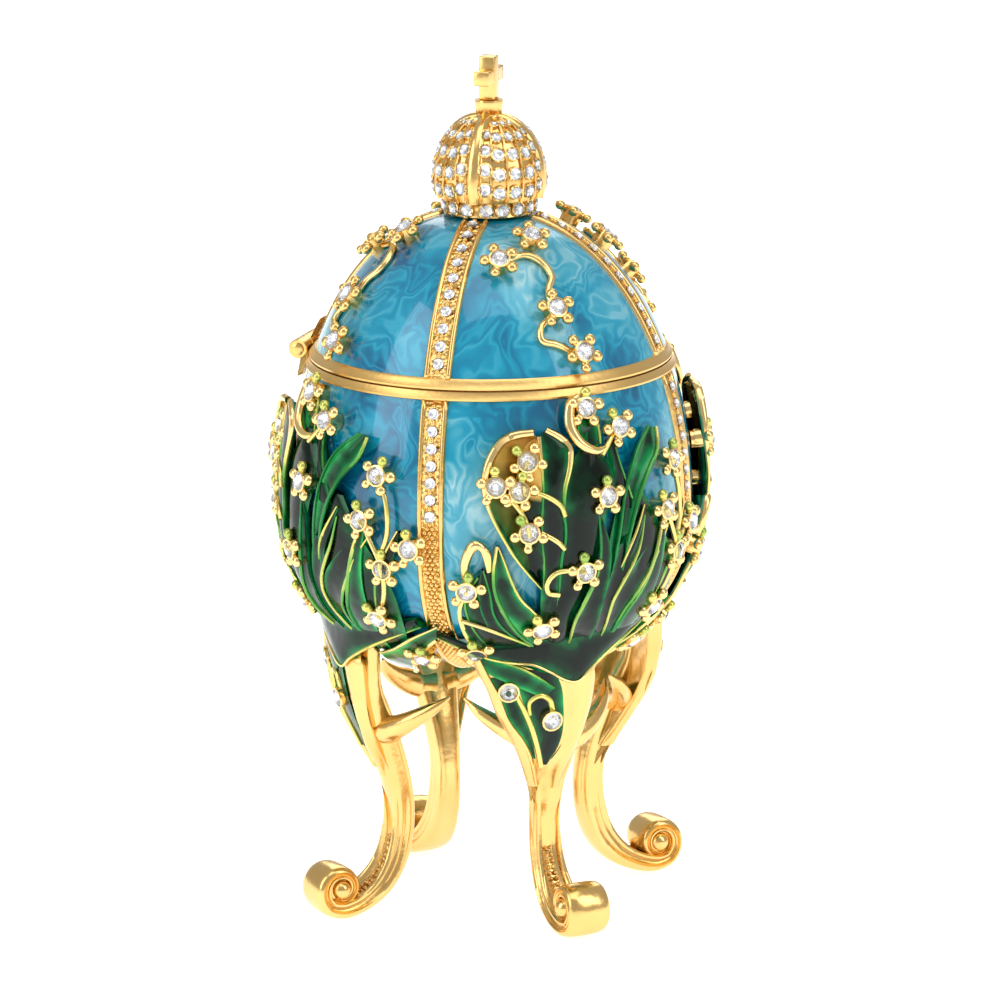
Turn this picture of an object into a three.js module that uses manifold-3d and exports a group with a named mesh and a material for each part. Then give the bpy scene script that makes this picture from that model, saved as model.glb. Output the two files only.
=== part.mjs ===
// A jewelled egg trinket box on four scroll legs, in millimetres, +Z up.
// The origin is on the ground under the egg's centre. The hinge is at the back, on +Y, the ribs stand on
// the X and Y axes, and the legs with their leaf sprays stand on the diagonals.
import * as THREE from "three";
import { mergeVertices } from "three/addons/utils/BufferGeometryUtils.js";
import Module from "manifold-3d";

// The egg
const EGG_RADIUS = 30.4;
const EGG_BOTTOM = 37.5;
const BELLY_HEIGHT = 62;
const SEAM_HEIGHT = 84.7;
const EGG_TOP = 107.2;
const UPPER_ROUNDNESS = 2.15;
const LOWER_ROUNDNESS = 2.1;
const WALL = 1.8;
const FIT_GAP = 0.3;

// Rim bands, ribs and the lip that keeps the lid in place
const BAND_HEIGHT = 1.7;
const BAND_PROUD = 0.5;
const LIP_HEIGHT = 1.2;
const LIP_THICKNESS = 0.8;
const RIB_WIDTH = 3.9;
const RIB_PROUD = 0.5;
const RIB_BEVEL = 0.25;
const RIB_COUNT = 4;
const PANEL_COLUMNS = 3;

// The crown finial
const CROWN_RING_RADIUS = 6.9;
const CROWN_RING_HEIGHT = 2.6;
const CROWN_RADIUS = 8.6;
const CROWN_DOME_HEIGHT = 12.2;
const CROWN_RELIEF = 0.4;
const STRAP_WIDTH = 1.9;
const STRAP_BEVEL = 0.7;
const CROWN_BELLY = 0.22;
const CROWN_FULLNESS = 0.9;
const CROWN_ANGLES = [-18, 6, 26, 44, 60];
const CROWN_RIDGES = [1 / 3, 2 / 3];
const RIDGE_PROFILE = [
  [-0.06, 0],
  [0, 0.8],
  [0.06, 0],
];
const COLLAR_RADIUS = 2.05;
const COLLAR_HEIGHT = 2.3;
const CROSS_HEIGHT = 6.6;
const CROSS_SPAN = 7.8;
const CROSS_BAR = 2.2;
const CROSS_POST = 2.4;
const CROSS_DEPTH = 2.5;
const CROSS_MIDDLE = 3.6;

// The hinge
const HINGE_LENGTH = 9;
const BARREL_RADIUS = 1.5;
const PIN_RADIUS = 0.65;
const PIN_CLEARANCE = 0.1;
const PIN_HEAD = 0.35;
const HINGE_PLATE = 1.1;
const HINGE_PLATE_HEIGHT = 4.2;
const HINGE_SIDES = 8;

// The legs, from the neck under the bowl down to the waist. Each station is a share of the way out
// from the waist to the neck, a share of the egg's bottom height, a width and a thickness.
const NECK_SHARE = 0.14;
const NECK_WIDTH = 9;
const NECK_THICKNESS = 2.5;
const WAIST_RADIUS = 16.3;
const UPPER_STATIONS = [
  [0.86, 0.98, 8.5, 3.3],
  [0.61, 0.83, 7.4, 4.1],
  [0.23, 0.64, 5.4, 4.1],
  [0, 0.47, 4.2, 4.1],
  [0, 0.34, 4.2, 4.1],
];

// The foot, as radius, height, width and thickness
const FOOT_STATIONS = [
  [17.5, 7.9, 4.7, 4.1],
  [20.1, 4.1, 5.6, 3.9],
  [24.6, 1.6, 6.4, 3.8],
  [28.8, 1.8, 7, 3],
];
const LEG_EDGE = 0.6;
const FOOT_CENTRE = 27.5;
const FOOT_WIDTH = 7;
const SCROLL_RADIUS = 4.3;
const SCROLL_HEIGHT = 5.1;
const SCROLL_SIDES = 10;
const EYE_RADIUS = 1.3;

// The shield-shaped leaf on a leg's shoulder. Each row is a share of the egg's bottom height, how
// far its spine stands off the leg, and a half width.
const CALYX_ROWS = [
  [1.12, 0.85, 6.8],
  [1.005, 0.55, 9.5],
  [0.885, 0.7, 7.8],
  [0.74, 1, 4.3],
  [0.615, 0.2, 1.1],
];
const CALYX_RIDGE = 0.4;
const CALYX_THICKNESS = 2.4;

// The pointed side leaves of a leg, from a share of the egg's bottom height. Each point is a share
// of the leg's radius there, a sideways reach and a rise.
const THORN_ROOT = 0.83;
const THORN_POINTS = [
  [1, 0, -1.7],
  [1, 6.9, -0.8],
  [0.7, 11.5, 3.8],
];
const THORN_THICKNESS = 1.7;
const THORN_TAPER = 0.8;
const THORN_STEPS = 3;

// Stones on a leg's outer face, in collets: degrees from the leg, a share of the egg's bottom
// height, how far they stand off the leg, and a downward tilt in degrees
const LEG_STONES = [
  [-22.3, 1.024, 0.9, 14],
  [-7, 0.893, 1.55, 12],
];
const COLLET_RADIUS = 1.7;
const COLLET_DEPTH = 2.2;

// Flowers and stones
const FLOWER_RADIUS = 2.7;
const FLOWER_NOTCH = 1.6;
const FLOWER_THICKNESS = 0.9;
const FLOWER_LIFT = 2.4;
const PETALS = 5;
const STONE_RADIUS = 1.45;
const STONE_TABLE = 0.8;
const STONE_HEIGHT = 0.8;
const STONE_SIDES = 6;
const STONE_SEAT = 0.15;
const STEM_RADIUS = 0.55;
const STEM_FREE = 2;
const STEM_LIFT = 0.9;
const STALK_RADIUS = 0.8;
const FOOT_SIDES = 3;
const FLOWER_ROOT = 0.1;

// Leaves of one spray. Each point is degrees from the leg and a share of the bowl's height, and
// the leaf's line bends from its root past its bend to its tip. Width and rise are millimetres.
const LEAVES = [
  { root: [-8, 0.12], bend: [-12, 0.42], tip: [-18, 0.89], width: 11, rise: 1.6, broad: 0.72 },
  { root: [-2, 0.12], bend: [-2, 0.5], tip: [2, 0.84], width: 7, rise: 1.8, broad: 0.55 },
  { root: [2, 0.13], bend: [7, 0.5], tip: [27, 0.84], width: 5, rise: 1.9, broad: 0.6 },
  { root: [6, 0.13], bend: [18, 0.34], tip: [27, 0.66], width: 5, rise: 1.7, broad: 0.45 },
  { root: [9, 0.1], bend: [28, 0.2], tip: [37, 0.54], width: 5.4, rise: 1.6, broad: 0.45 },
  { root: [-12, 0.13], bend: [-25, 0.26], tip: [-28, 0.57], width: 4.6, rise: 1.6, broad: 0.45 },
  { root: [-8, 0.1], bend: [-30, 0.16], tip: [-38, 0.42], width: 4.8, rise: 1.6, broad: 0.4 },
  { root: [3, 0.1], bend: [-14, 0.06], tip: [-37, 0.16], width: 6, rise: 1.9, broad: 0.4 },
  { root: [-3, 0.1], bend: [16, 0.06], tip: [39, 0.15], width: 6.4, rise: 1.9, broad: 0.4 },
];
const LOWEST_LEAF = 0.125;
const LEAF_STEPS = 4;
const LEAF_UNDERSIDE = 0.35;
const LEAF_END_WIDTH = 0.5;
const LEAF_ROOT_SHARE = 0.2;

// Flowers of one spray: where each sits, and whether its stone is a piece of its own
const SPRAY_FLOWERS = [
  { at: [0, 0.93], set: true },
  { at: [9.5, 0.86], set: true },
  { at: [31, 0.76], set: true },
  { at: [3, 0.66], set: true },
  { at: [26, 0.6], set: true },
  { at: [-4, 0.435], set: true },
  { at: [-18, 0.79], set: false },
  { at: [-18, 0.58], set: false },
  { at: [36, 0.45], set: false },
];

// Flowers of one sprig on the lid, as degrees from the panel's middle and a share of the lid's height
const SPRIG_FLOWERS = [
  [-23, 0.76],
  [-1.5, 0.85],
  [-3, 0.47],
  [3, 0.19],
];
const SPRIG_STEMS = [
  [[-19, 0.75], [14, 0.7], [-6, 0.58]],
  [[-5, 0.48], [-24, 0.4], [3, 0.24]],
];
const STEM_STEPS = 3;
const EMPTY_SETTING = "lid_stone_back_left_1";

const GOLD = { color: 0xe3b04b, roughness: 0.22, metalness: 1 };
const BLUE = { color: 0x2f8fc4, roughness: 0.12, metalness: 0.15 };
const CRYSTAL = { color: 0xeef4f8, roughness: 0.02, metalness: 0 };
const GREEN_GOLD = { color: 0x2f6a3a, roughness: 0.2, metalness: 0.4 };

const MERGE_TOLERANCE = 1e-3;
const QUARTER = 360 / RIB_COUNT;
const wasm = await Module();
wasm.setup();

// Solids and meshes

// A geometry as a solid that faces out, whichever way its triangles run
function solidOf(geometry) {
  const bare = geometry.clone();
  bare.deleteAttribute("normal");
  bare.deleteAttribute("uv");
  const merged = mergeVertices(bare, MERGE_TOLERANCE);
  const vertProperties = new Float32Array(merged.attributes.position.array);
  const build = (triVerts) => new wasm.Manifold(new wasm.Mesh({ numProp: 3, vertProperties, triVerts }));
  const triangles = new Uint32Array(merged.index.array);
  const solid = build(triangles);
  return solid.volume() < 0 ? build(triangles.reverse()) : solid;
}

function geometryOf(solid) {
  const mesh = solid.getMesh();
  const geometry = new THREE.BufferGeometry();
  geometry.setAttribute("position", new THREE.BufferAttribute(mesh.vertProperties, 3));
  geometry.setIndex(new THREE.BufferAttribute(mesh.triVerts, 1));
  const flat = geometry.toNonIndexed();
  flat.computeVertexNormals();
  return flat;
}

function joined(solids) {
  return solids.reduce((sum, next) => sum.add(next));
}

// The solid without the pockets that its overlapping leaves close off inside it
function filled(solid) {
  const merged = solidOf(geometryOf(solid));
  return joined(merged.decompose().filter((body) => body.volume() > 0));
}

function named(name, geometry, finish) {
  const mesh = new THREE.Mesh(geometry, new THREE.MeshStandardMaterial(finish));
  mesh.name = name;
  return mesh;
}

// Points and frames on the egg. Azimuth 0 is the front, and it grows towards +X.

function around(azimuth, radius, height, sideways = 0) {
  const angle = THREE.MathUtils.degToRad(azimuth);
  const out = new THREE.Vector3(Math.sin(angle), -Math.cos(angle), 0);
  const side = new THREE.Vector3(Math.cos(angle), Math.sin(angle), 0);
  return out.multiplyScalar(radius).addScaledVector(side, sideways).setZ(height);
}

function eggHalf(height) {
  const upper = height > BELLY_HEIGHT;
  return {
    sign: upper ? 1 : -1,
    reach: upper ? EGG_TOP - BELLY_HEIGHT : BELLY_HEIGHT - EGG_BOTTOM,
    power: upper ? UPPER_ROUNDNESS : LOWER_ROUNDNESS,
  };
}

function eggRadius(height, inset = 0) {
  const half = eggHalf(height);
  const share = Math.min(1, Math.abs(height - BELLY_HEIGHT) / (half.reach - inset));
  return (EGG_RADIUS - inset) * (1 - share ** half.power) ** (1 / half.power);
}

// The egg's height where its upper half has a given radius
function eggHeight(radius) {
  const share = (1 - (radius / EGG_RADIUS) ** UPPER_ROUNDNESS) ** (1 / UPPER_ROUNDNESS);
  return BELLY_HEIGHT + share * (EGG_TOP - BELLY_HEIGHT);
}

// The outward normal of the outline at a height, as its radial and upward parts
function eggNormal(height) {
  const half = eggHalf(height);
  const heightShare = Math.abs(height - BELLY_HEIGHT) / half.reach;
  const radiusShare = eggRadius(height) / EGG_RADIUS;
  const radial = radiusShare ** (half.power - 1) / EGG_RADIUS;
  const upward = (half.sign * heightShare ** (half.power - 1)) / half.reach;
  return new THREE.Vector2(radial, upward).normalize();
}

function onEgg(azimuth, height, lift) {
  const normal = eggNormal(height);
  return around(azimuth, eggRadius(height) + normal.x * lift, height + normal.y * lift);
}

// A matrix that turns a shape drawn about the Z axis to face a direction given by its radial and
// upward parts, with its X axis level
function facing(azimuth, direction, position) {
  const out = around(azimuth, direction.x, direction.y);
  const side = around(azimuth, 0, 0, 1);
  const up = new THREE.Vector3().crossVectors(out, side);
  return new THREE.Matrix4().makeBasis(side, up, out).setPosition(position);
}

function standing(azimuth, height, lift) {
  return facing(azimuth, eggNormal(height), onEgg(azimuth, height, lift));
}

// A closed solid through rings of points, with flat ends

function lofted(sections) {
  const count = sections[0].length;
  const points = sections.flat();
  const faces = [];
  for (let row = 0; row + 1 < sections.length; row += 1) {
    for (let column = 0; column < count; column += 1) {
      const next = (column + 1) % count;
      const a = row * count + column;
      const b = row * count + next;
      faces.push(a, b, b + count, a, b + count, a + count);
    }
  }
  const last = (sections.length - 1) * count;
  for (let column = 1; column + 1 < count; column += 1) {
    faces.push(0, column + 1, column);
    faces.push(last, last + column, last + column + 1);
  }
  const geometry = new THREE.BufferGeometry().setFromPoints(points);
  geometry.setIndex(faces);
  return solidOf(geometry);
}

// Shells: an outline walked from pole to pole, with ribs raised along it

function columnsOf(radius) {
  const edge = THREE.MathUtils.radToDeg(Math.asin(RIB_WIDTH / 2 / radius));
  const foot = THREE.MathUtils.radToDeg(Math.asin((RIB_WIDTH / 2 + RIB_BEVEL) / radius));
  const panel = QUARTER - 2 * foot;
  const quarter = [
    { turn: -edge, raised: 1 },
    { turn: edge, raised: 1 },
  ];
  for (let column = 0; column < PANEL_COLUMNS + 2; column += 1) {
    quarter.push({ turn: foot + (panel * column) / (PANEL_COLUMNS + 1), raised: 0 });
  }
  const all = [];
  for (let rib = 0; rib < RIB_COUNT; rib += 1) {
    for (const { turn, raised } of quarter) all.push({ turn: turn + rib * QUARTER, raised });
  }
  return all;
}

function shell(startHeight, rings, endHeight) {
  const points = [new THREE.Vector3(0, 0, startHeight)];
  for (const ring of rings) {
    for (const { turn, raised } of columnsOf(ring.radius)) {
      const lift = (ring.lift ?? 0) + raised * (ring.rib ?? 0);
      const normal = ring.normal ?? new THREE.Vector2(1, 0);
      points.push(around(turn, ring.radius + normal.x * lift, ring.height + normal.y * lift));
    }
  }
  points.push(new THREE.Vector3(0, 0, endHeight));
  const count = (points.length - 2) / rings.length;
  const end = points.length - 1;
  const faces = [];
  for (let column = 0; column < count; column += 1) {
    const next = (column + 1) % count;
    faces.push(0, 1 + next, 1 + column);
    for (let row = 0; row + 1 < rings.length; row += 1) {
      const a = 1 + row * count + column;
      const b = 1 + row * count + next;
      faces.push(a, b, b + count, a, b + count, a + count);
    }
    const start = 1 + (rings.length - 1) * count;
    faces.push(end, start + column, start + next);
  }
  const geometry = new THREE.BufferGeometry().setFromPoints(points);
  geometry.setIndex(faces);
  return geometry;
}

// A point of the outline at an angle from the belly, in degrees, where 90 is the pole
function latitude(angle, sign, inset = 0) {
  const half = eggHalf(BELLY_HEIGHT + sign);
  const radians = THREE.MathUtils.degToRad(angle);
  const reach = half.reach - inset;
  return {
    radius: (EGG_RADIUS - inset) * Math.cos(radians) ** (2 / half.power),
    height: BELLY_HEIGHT + sign * reach * Math.sin(radians) ** (2 / half.power),
  };
}

function outerRing(angle, sign) {
  const ring = latitude(angle, sign);
  return { ...ring, normal: eggNormal(ring.height), rib: RIB_PROUD };
}

function bandRing(height, lift) {
  return { radius: eggRadius(height), height, lift, rib: lift > 0 ? 0 : RIB_PROUD };
}

const SEAM_RADIUS = eggRadius(SEAM_HEIGHT);
const BOWL_RIM = SEAM_HEIGHT - FIT_GAP / 2;
const LID_RIM = SEAM_HEIGHT + FIT_GAP / 2;
const INNER_RIM = eggRadius(SEAM_HEIGHT, WALL);
const LIP_RADIUS = INNER_RIM + LIP_THICKNESS;
const CROWN_SEAT_RADIUS = CROWN_RING_RADIUS + FIT_GAP;
const CROWN_SEAT = eggHeight(CROWN_SEAT_RADIUS);

function bowl() {
  const rings = [];
  for (const angle of [75, 61, 47, 32, 16]) rings.push(outerRing(angle, -1));
  for (const angle of [0, 14]) rings.push(outerRing(angle, 1));
  rings.push(bandRing(BOWL_RIM - BAND_HEIGHT - RIB_BEVEL, 0));
  rings.push(bandRing(BOWL_RIM - BAND_HEIGHT, BAND_PROUD));
  rings.push(bandRing(BOWL_RIM, BAND_PROUD));
  rings.push({ radius: LIP_RADIUS, height: BOWL_RIM });
  rings.push({ radius: LIP_RADIUS, height: BOWL_RIM + LIP_HEIGHT });
  rings.push({ radius: INNER_RIM, height: BOWL_RIM + LIP_HEIGHT });
  rings.push(latitude(14, 1, WALL));
  for (const angle of [20, 56]) rings.push(latitude(angle, -1, WALL));
  return shell(EGG_BOTTOM, rings, EGG_BOTTOM + WALL);
}

function lidShell() {
  const rebate = LIP_RADIUS + FIT_GAP;
  const rings = [];
  for (const angle of [66, 49]) rings.push(latitude(angle, 1, WALL));
  rings.push({ radius: INNER_RIM, height: LID_RIM + LIP_HEIGHT + FIT_GAP });
  rings.push({ radius: rebate, height: LID_RIM + LIP_HEIGHT + FIT_GAP });
  rings.push({ radius: rebate, height: LID_RIM });
  rings.push(bandRing(LID_RIM, BAND_PROUD));
  rings.push(bandRing(LID_RIM + BAND_HEIGHT, BAND_PROUD));
  rings.push(bandRing(LID_RIM + BAND_HEIGHT + RIB_BEVEL, 0));
  for (const angle of [41, 51, 61, 69]) rings.push(outerRing(angle, 1));
  const seatEdge = CROWN_SEAT_RADIUS + RIB_PROUD;
  rings.push({ radius: seatEdge, height: eggHeight(seatEdge) });
  rings.push({ radius: CROWN_SEAT_RADIUS, height: CROWN_SEAT });
  return shell(EGG_TOP - WALL, rings, CROWN_SEAT);
}

// Flowers, stems and stones

// A five-petalled star with its face at FLOWER_LIFT over the egg, narrowing to a three-sided foot
function flower(azimuth, height, foot) {
  const place = standing(azimuth, height, FLOWER_LIFT);
  const corners = 2 * PETALS;
  const points = [];
  for (let corner = 0; corner < corners; corner += 1) {
    const reach = corner % 2 === 0 ? FLOWER_RADIUS : FLOWER_NOTCH;
    const turn = (2 * Math.PI * corner) / corners;
    points.push(new THREE.Vector3(reach * Math.cos(turn), reach * Math.sin(turn), 0));
  }
  for (let side = 0; side < FOOT_SIDES; side += 1) {
    const turn = (2 * Math.PI * (side + 0.5)) / FOOT_SIDES;
    const reach = STALK_RADIUS;
    points.push(new THREE.Vector3(reach * Math.cos(turn), reach * Math.sin(turn), foot - FLOWER_LIFT));
  }
  const footOf = (corner) => corners + (Math.floor((corner * FOOT_SIDES) / corners) % FOOT_SIDES);
  const faces = [corners, corners + 2, corners + 1];
  for (let corner = 0; corner < corners; corner += 1) {
    const next = (corner + 1) % corners;
    faces.push(footOf(corner), next, corner);
    if (footOf(corner + 1) !== footOf(corner)) faces.push(footOf(corner), footOf(corner + 1), next);
    if (corner % 2 === 0) faces.push(corner, next, (corner + corners - 1) % corners);
  }
  for (let petal = 1; petal + 1 < PETALS; petal += 1) faces.push(1, 1 + 2 * petal, 3 + 2 * petal);
  const geometry = new THREE.BufferGeometry().setFromPoints(points.map((p) => p.applyMatrix4(place)));
  geometry.setIndex(faces);
  return solidOf(geometry);
}

function stone(place) {
  const sections = [STONE_RADIUS, STONE_TABLE].map((radius, level) => {
    const ring = [];
    for (let side = 0; side < STONE_SIDES; side += 1) {
      const turn = (2 * Math.PI * side) / STONE_SIDES;
      ring.push(new THREE.Vector3(radius * Math.cos(turn), radius * Math.sin(turn), level * STONE_HEIGHT));
    }
    return ring;
  });
  return geometryOf(lofted(sections)).applyMatrix4(place);
}

// A three-sided stem along points of the egg, standing at one lift
function stem(points, lift) {
  const steps = points.length;
  const sections = points.map(([azimuth, height], step) => {
    const centre = onEgg(azimuth, height, lift);
    const before = points[Math.max(0, step - 1)];
    const after = points[Math.min(steps - 1, step + 1)];
    const along = onEgg(...after, lift).sub(onEgg(...before, lift)).normalize();
    const out = onEgg(azimuth, height, lift + 1).sub(centre);
    const side = new THREE.Vector3().crossVectors(along, out).normalize();
    return [
      centre.clone().addScaledVector(side, STEM_RADIUS).addScaledVector(out, -STEM_RADIUS),
      centre.clone().addScaledVector(out, STEM_RADIUS),
      centre.clone().addScaledVector(side, -STEM_RADIUS).addScaledVector(out, -STEM_RADIUS),
    ];
  });
  return lofted(sections);
}

// The lid with its sprigs

const LID_SPAN = CROWN_SEAT - LID_RIM;

function lid() {
  const solids = [solidOf(lidShell())];
  for (let panel = 0; panel < RIB_COUNT; panel += 1) {
    const middle = (panel + 0.5) * QUARTER;
    for (const [turn, share] of SPRIG_FLOWERS) {
      solids.push(flower(middle + turn, LID_RIM + share * LID_SPAN, -STALK_RADIUS));
    }
    for (const [from, by, to] of SPRIG_STEMS) {
      const curve = new THREE.QuadraticBezierCurve(...[from, by, to].map((p) => new THREE.Vector2(...p)));
      const points = curve.getPoints(STEM_STEPS).map((p) => [middle + p.x, LID_RIM + p.y * LID_SPAN]);
      solids.push(stem(points, STEM_LIFT));
    }
  }
  return geometryOf(joined(solids));
}

// The leaf sprays

const BOWL_SPAN = SEAM_HEIGHT - EGG_BOTTOM;

function bowlPlace([turn, share], middle) {
  return [middle + turn, EGG_BOTTOM + share * BOWL_SPAN];
}

// The room a spray leaves over the bowl, with its ribs where it crosses one
function clearanceAt(turn) {
  const low = eggRadius(EGG_BOTTOM + LOWEST_LEAF * BOWL_SPAN);
  const ribEdge = THREE.MathUtils.radToDeg((RIB_WIDTH / 2 + RIB_BEVEL + FIT_GAP) / low);
  return Math.abs(turn) > QUARTER / 2 - ribEdge ? FIT_GAP + RIB_PROUD : FIT_GAP;
}

function leafWidth(t, width, broad) {
  const swell = t < broad ? t / broad : (1 - t) / (1 - broad);
  const body = Math.sin((Math.PI / 2) * swell);
  const root = t < broad ? LEAF_ROOT_SHARE * (1 - swell) : 0;
  return Math.max(LEAF_END_WIDTH, width * Math.max(body, root + (1 - root) * body));
}

function leaf({ root, bend, tip, width, rise, broad }, middle) {
  const curve = new THREE.QuadraticBezierCurve(...[root, bend, tip].map((p) => new THREE.Vector2(...p)));
  const sections = [];
  for (let step = 0; step <= LEAF_STEPS; step += 1) {
    const t = step / LEAF_STEPS;
    const place = curve.getPoint(t);
    const ahead = bowlPlace(curve.getPoint(Math.min(1, t + 0.05)).toArray(), middle);
    const behind = bowlPlace(curve.getPoint(Math.max(0, t - 0.05)).toArray(), middle);
    const here = bowlPlace(place.toArray(), middle);
    const lift = LEAF_UNDERSIDE + clearanceAt(place.x);
    const centre = onEgg(...here, lift);
    const out = onEgg(...here, lift + 1).sub(centre);
    const along = onEgg(...ahead, lift).sub(onEgg(...behind, lift));
    const side = new THREE.Vector3().crossVectors(along, out).normalize();
    const half = leafWidth(t, width, broad) / 2;
    sections.push([
      centre.clone().addScaledVector(side, half),
      onEgg(...here, rise),
      centre.clone().addScaledVector(side, -half),
    ]);
  }
  return lofted(sections);
}

// The legs

function legStations() {
  const neck = EGG_BOTTOM + NECK_SHARE * BOWL_SPAN;
  const normal = eggNormal(neck);
  const lift = FIT_GAP + CALYX_THICKNESS - CALYX_RIDGE;
  const radius = eggRadius(neck) + normal.x * lift;
  const upper = UPPER_STATIONS.map(([out, up, width, thickness]) => {
    return [WAIST_RADIUS + out * (radius - WAIST_RADIUS), up * EGG_BOTTOM, width, thickness];
  });
  return [[radius, neck + normal.y * lift, NECK_WIDTH, NECK_THICKNESS], ...upper, ...FOOT_STATIONS];
}

// The leg's middle line and outer face at a height, between the two stations beside it
function legAt(height) {
  const stations = legStations();
  const found = stations.findIndex((station) => station[1] < height);
  const after = Math.max(1, found);
  const [radius, top, , thickness] = stations[after - 1];
  const [nextRadius, bottom, , nextThickness] = stations[after];
  const share = (top - height) / (top - bottom);
  const middle = radius + share * (nextRadius - radius);
  return { middle, outer: middle + (thickness + share * (nextThickness - thickness)) / 2 };
}

function legStem(middle) {
  const stations = legStations();
  const sections = stations.map(([radius, height, width, thickness], i) => {
    const before = stations[Math.max(0, i - 1)];
    const after = stations[Math.min(stations.length - 1, i + 1)];
    const along = new THREE.Vector2(after[0] - before[0], after[1] - before[1]).normalize();
    const across = new THREE.Vector2(-along.y, along.x);
    const corner = (side, depth) =>
      around(
        middle,
        radius + (across.x * depth * thickness) / 2,
        height + (across.y * depth * thickness) / 2,
        (side * width) / 2,
      );
    return [
      corner(1, 0),
      corner(LEG_EDGE, 1),
      corner(-LEG_EDGE, 1),
      corner(-1, 0),
      corner(-LEG_EDGE, -1),
      corner(LEG_EDGE, -1),
    ];
  });
  return lofted(sections);
}

function scroll(middle) {
  const drum = new THREE.CylinderGeometry(SCROLL_RADIUS, SCROLL_RADIUS, FOOT_WIDTH, SCROLL_SIDES);
  drum.rotateZ(Math.PI / 2);
  const eyes = [-1, 1].map((side) => {
    const eye = new THREE.IcosahedronGeometry(EYE_RADIUS, 0);
    eye.translate((side * FOOT_WIDTH) / 2, 0, 0);
    return eye;
  });
  const place = around(middle, FOOT_CENTRE, SCROLL_HEIGHT);
  const turn = new THREE.Matrix4().makeRotationZ(THREE.MathUtils.degToRad(middle));
  turn.setPosition(place);
  return joined([drum, ...eyes].map((geometry) => solidOf(geometry.applyMatrix4(turn))));
}

// The calyx: a shield-shaped leaf on the leg's outer face, bent round the egg
function calyx(middle) {
  const sections = CALYX_ROWS.map(([rise, standoff, half]) => {
    const height = rise * EGG_BOTTOM;
    const spine = legAt(height).outer + standoff;
    const edge = Math.sqrt(spine ** 2 - half ** 2);
    return [
      around(middle, edge, height, half),
      around(middle, spine + CALYX_RIDGE, height),
      around(middle, edge, height, -half),
      around(middle, spine - CALYX_THICKNESS, height),
    ];
  });
  return lofted(sections);
}

// A pointed side leaf that curls from the leg in under the egg
function thorn(middle, sign) {
  const root = THORN_ROOT * EGG_BOTTOM;
  const { middle: radius } = legAt(root);
  const points = THORN_POINTS.map(([out, side, rise]) => new THREE.Vector3(out * radius, side, root + rise));
  const curve = new THREE.QuadraticBezierCurve3(...points);
  const sections = curve.getPoints(THORN_STEPS).map((p, step) => {
    const half = THORN_THICKNESS * (1 - (THORN_TAPER * step) / THORN_STEPS);
    return [
      around(middle, p.x + half, p.z, sign * p.y),
      around(middle, p.x - half / 2, p.z + half, sign * p.y),
      around(middle, p.x - half / 2, p.z - half, sign * p.y),
    ];
  });
  return lofted(sections);
}

function legStonePlace([turn, rise, standoff, tilt], middle, lift) {
  const height = rise * EGG_BOTTOM;
  const radius = legAt(height).outer + standoff;
  const angle = THREE.MathUtils.degToRad(-tilt);
  const direction = new THREE.Vector2(Math.cos(angle), Math.sin(angle));
  const azimuth = middle + turn;
  return facing(azimuth, direction, around(azimuth, radius + direction.x * lift, height + direction.y * lift));
}

function collet(each, middle) {
  const cup = new THREE.CylinderGeometry(COLLET_RADIUS, COLLET_RADIUS, COLLET_DEPTH, STONE_SIDES);
  cup.rotateX(Math.PI / 2).translate(0, 0, -COLLET_DEPTH / 2);
  return solidOf(cup.applyMatrix4(legStonePlace(each, middle, 0)));
}

// The point of the nearest leaf's line to a flower, and how far off it lies in millimetres
function nearestLeaf([turn, share]) {
  const perTurn = THREE.MathUtils.degToRad(EGG_RADIUS);
  let best = { away: Infinity };
  for (const { root, bend, tip } of LEAVES) {
    const curve = new THREE.QuadraticBezierCurve(...[root, bend, tip].map((p) => new THREE.Vector2(...p)));
    for (const p of curve.getPoints(2 * LEAF_STEPS)) {
      const away = Math.hypot((p.x - turn) * perTurn, (p.y - share) * BOWL_SPAN);
      if (away < best.away) best = { away, place: [p.x, p.y] };
    }
  }
  return best;
}

function spray(middle) {
  const solids = LEAVES.map((each) => leaf(each, middle));
  for (const { at } of SPRAY_FLOWERS) {
    const [azimuth, height] = bowlPlace(at, middle);
    const { away, place } = nearestLeaf(at);
    const foot = clearanceAt(at[0]) + LEAF_UNDERSIDE + FLOWER_ROOT;
    solids.push(flower(azimuth, height, foot));
    if (away > STEM_FREE) {
      solids.push(stem([bowlPlace(place, middle), [azimuth, height]], foot + STEM_RADIUS));
    }
  }
  return joined(solids);
}

function leg(middle) {
  const solids = [legStem(middle), scroll(middle), calyx(middle), spray(middle)];
  solids.push(thorn(middle, 1), thorn(middle, -1));
  solids.push(...LEG_STONES.map((each) => collet(each, middle)));
  const size = 4 * FOOT_CENTRE;
  const ground = new THREE.BoxGeometry(size, size, size).translate(0, 0, -size / 2);
  return geometryOf(filled(joined(solids).subtract(solidOf(ground))));
}

// The crown: a ringed base and a melon dome with straps and ridges, a collar and a small cross

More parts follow.
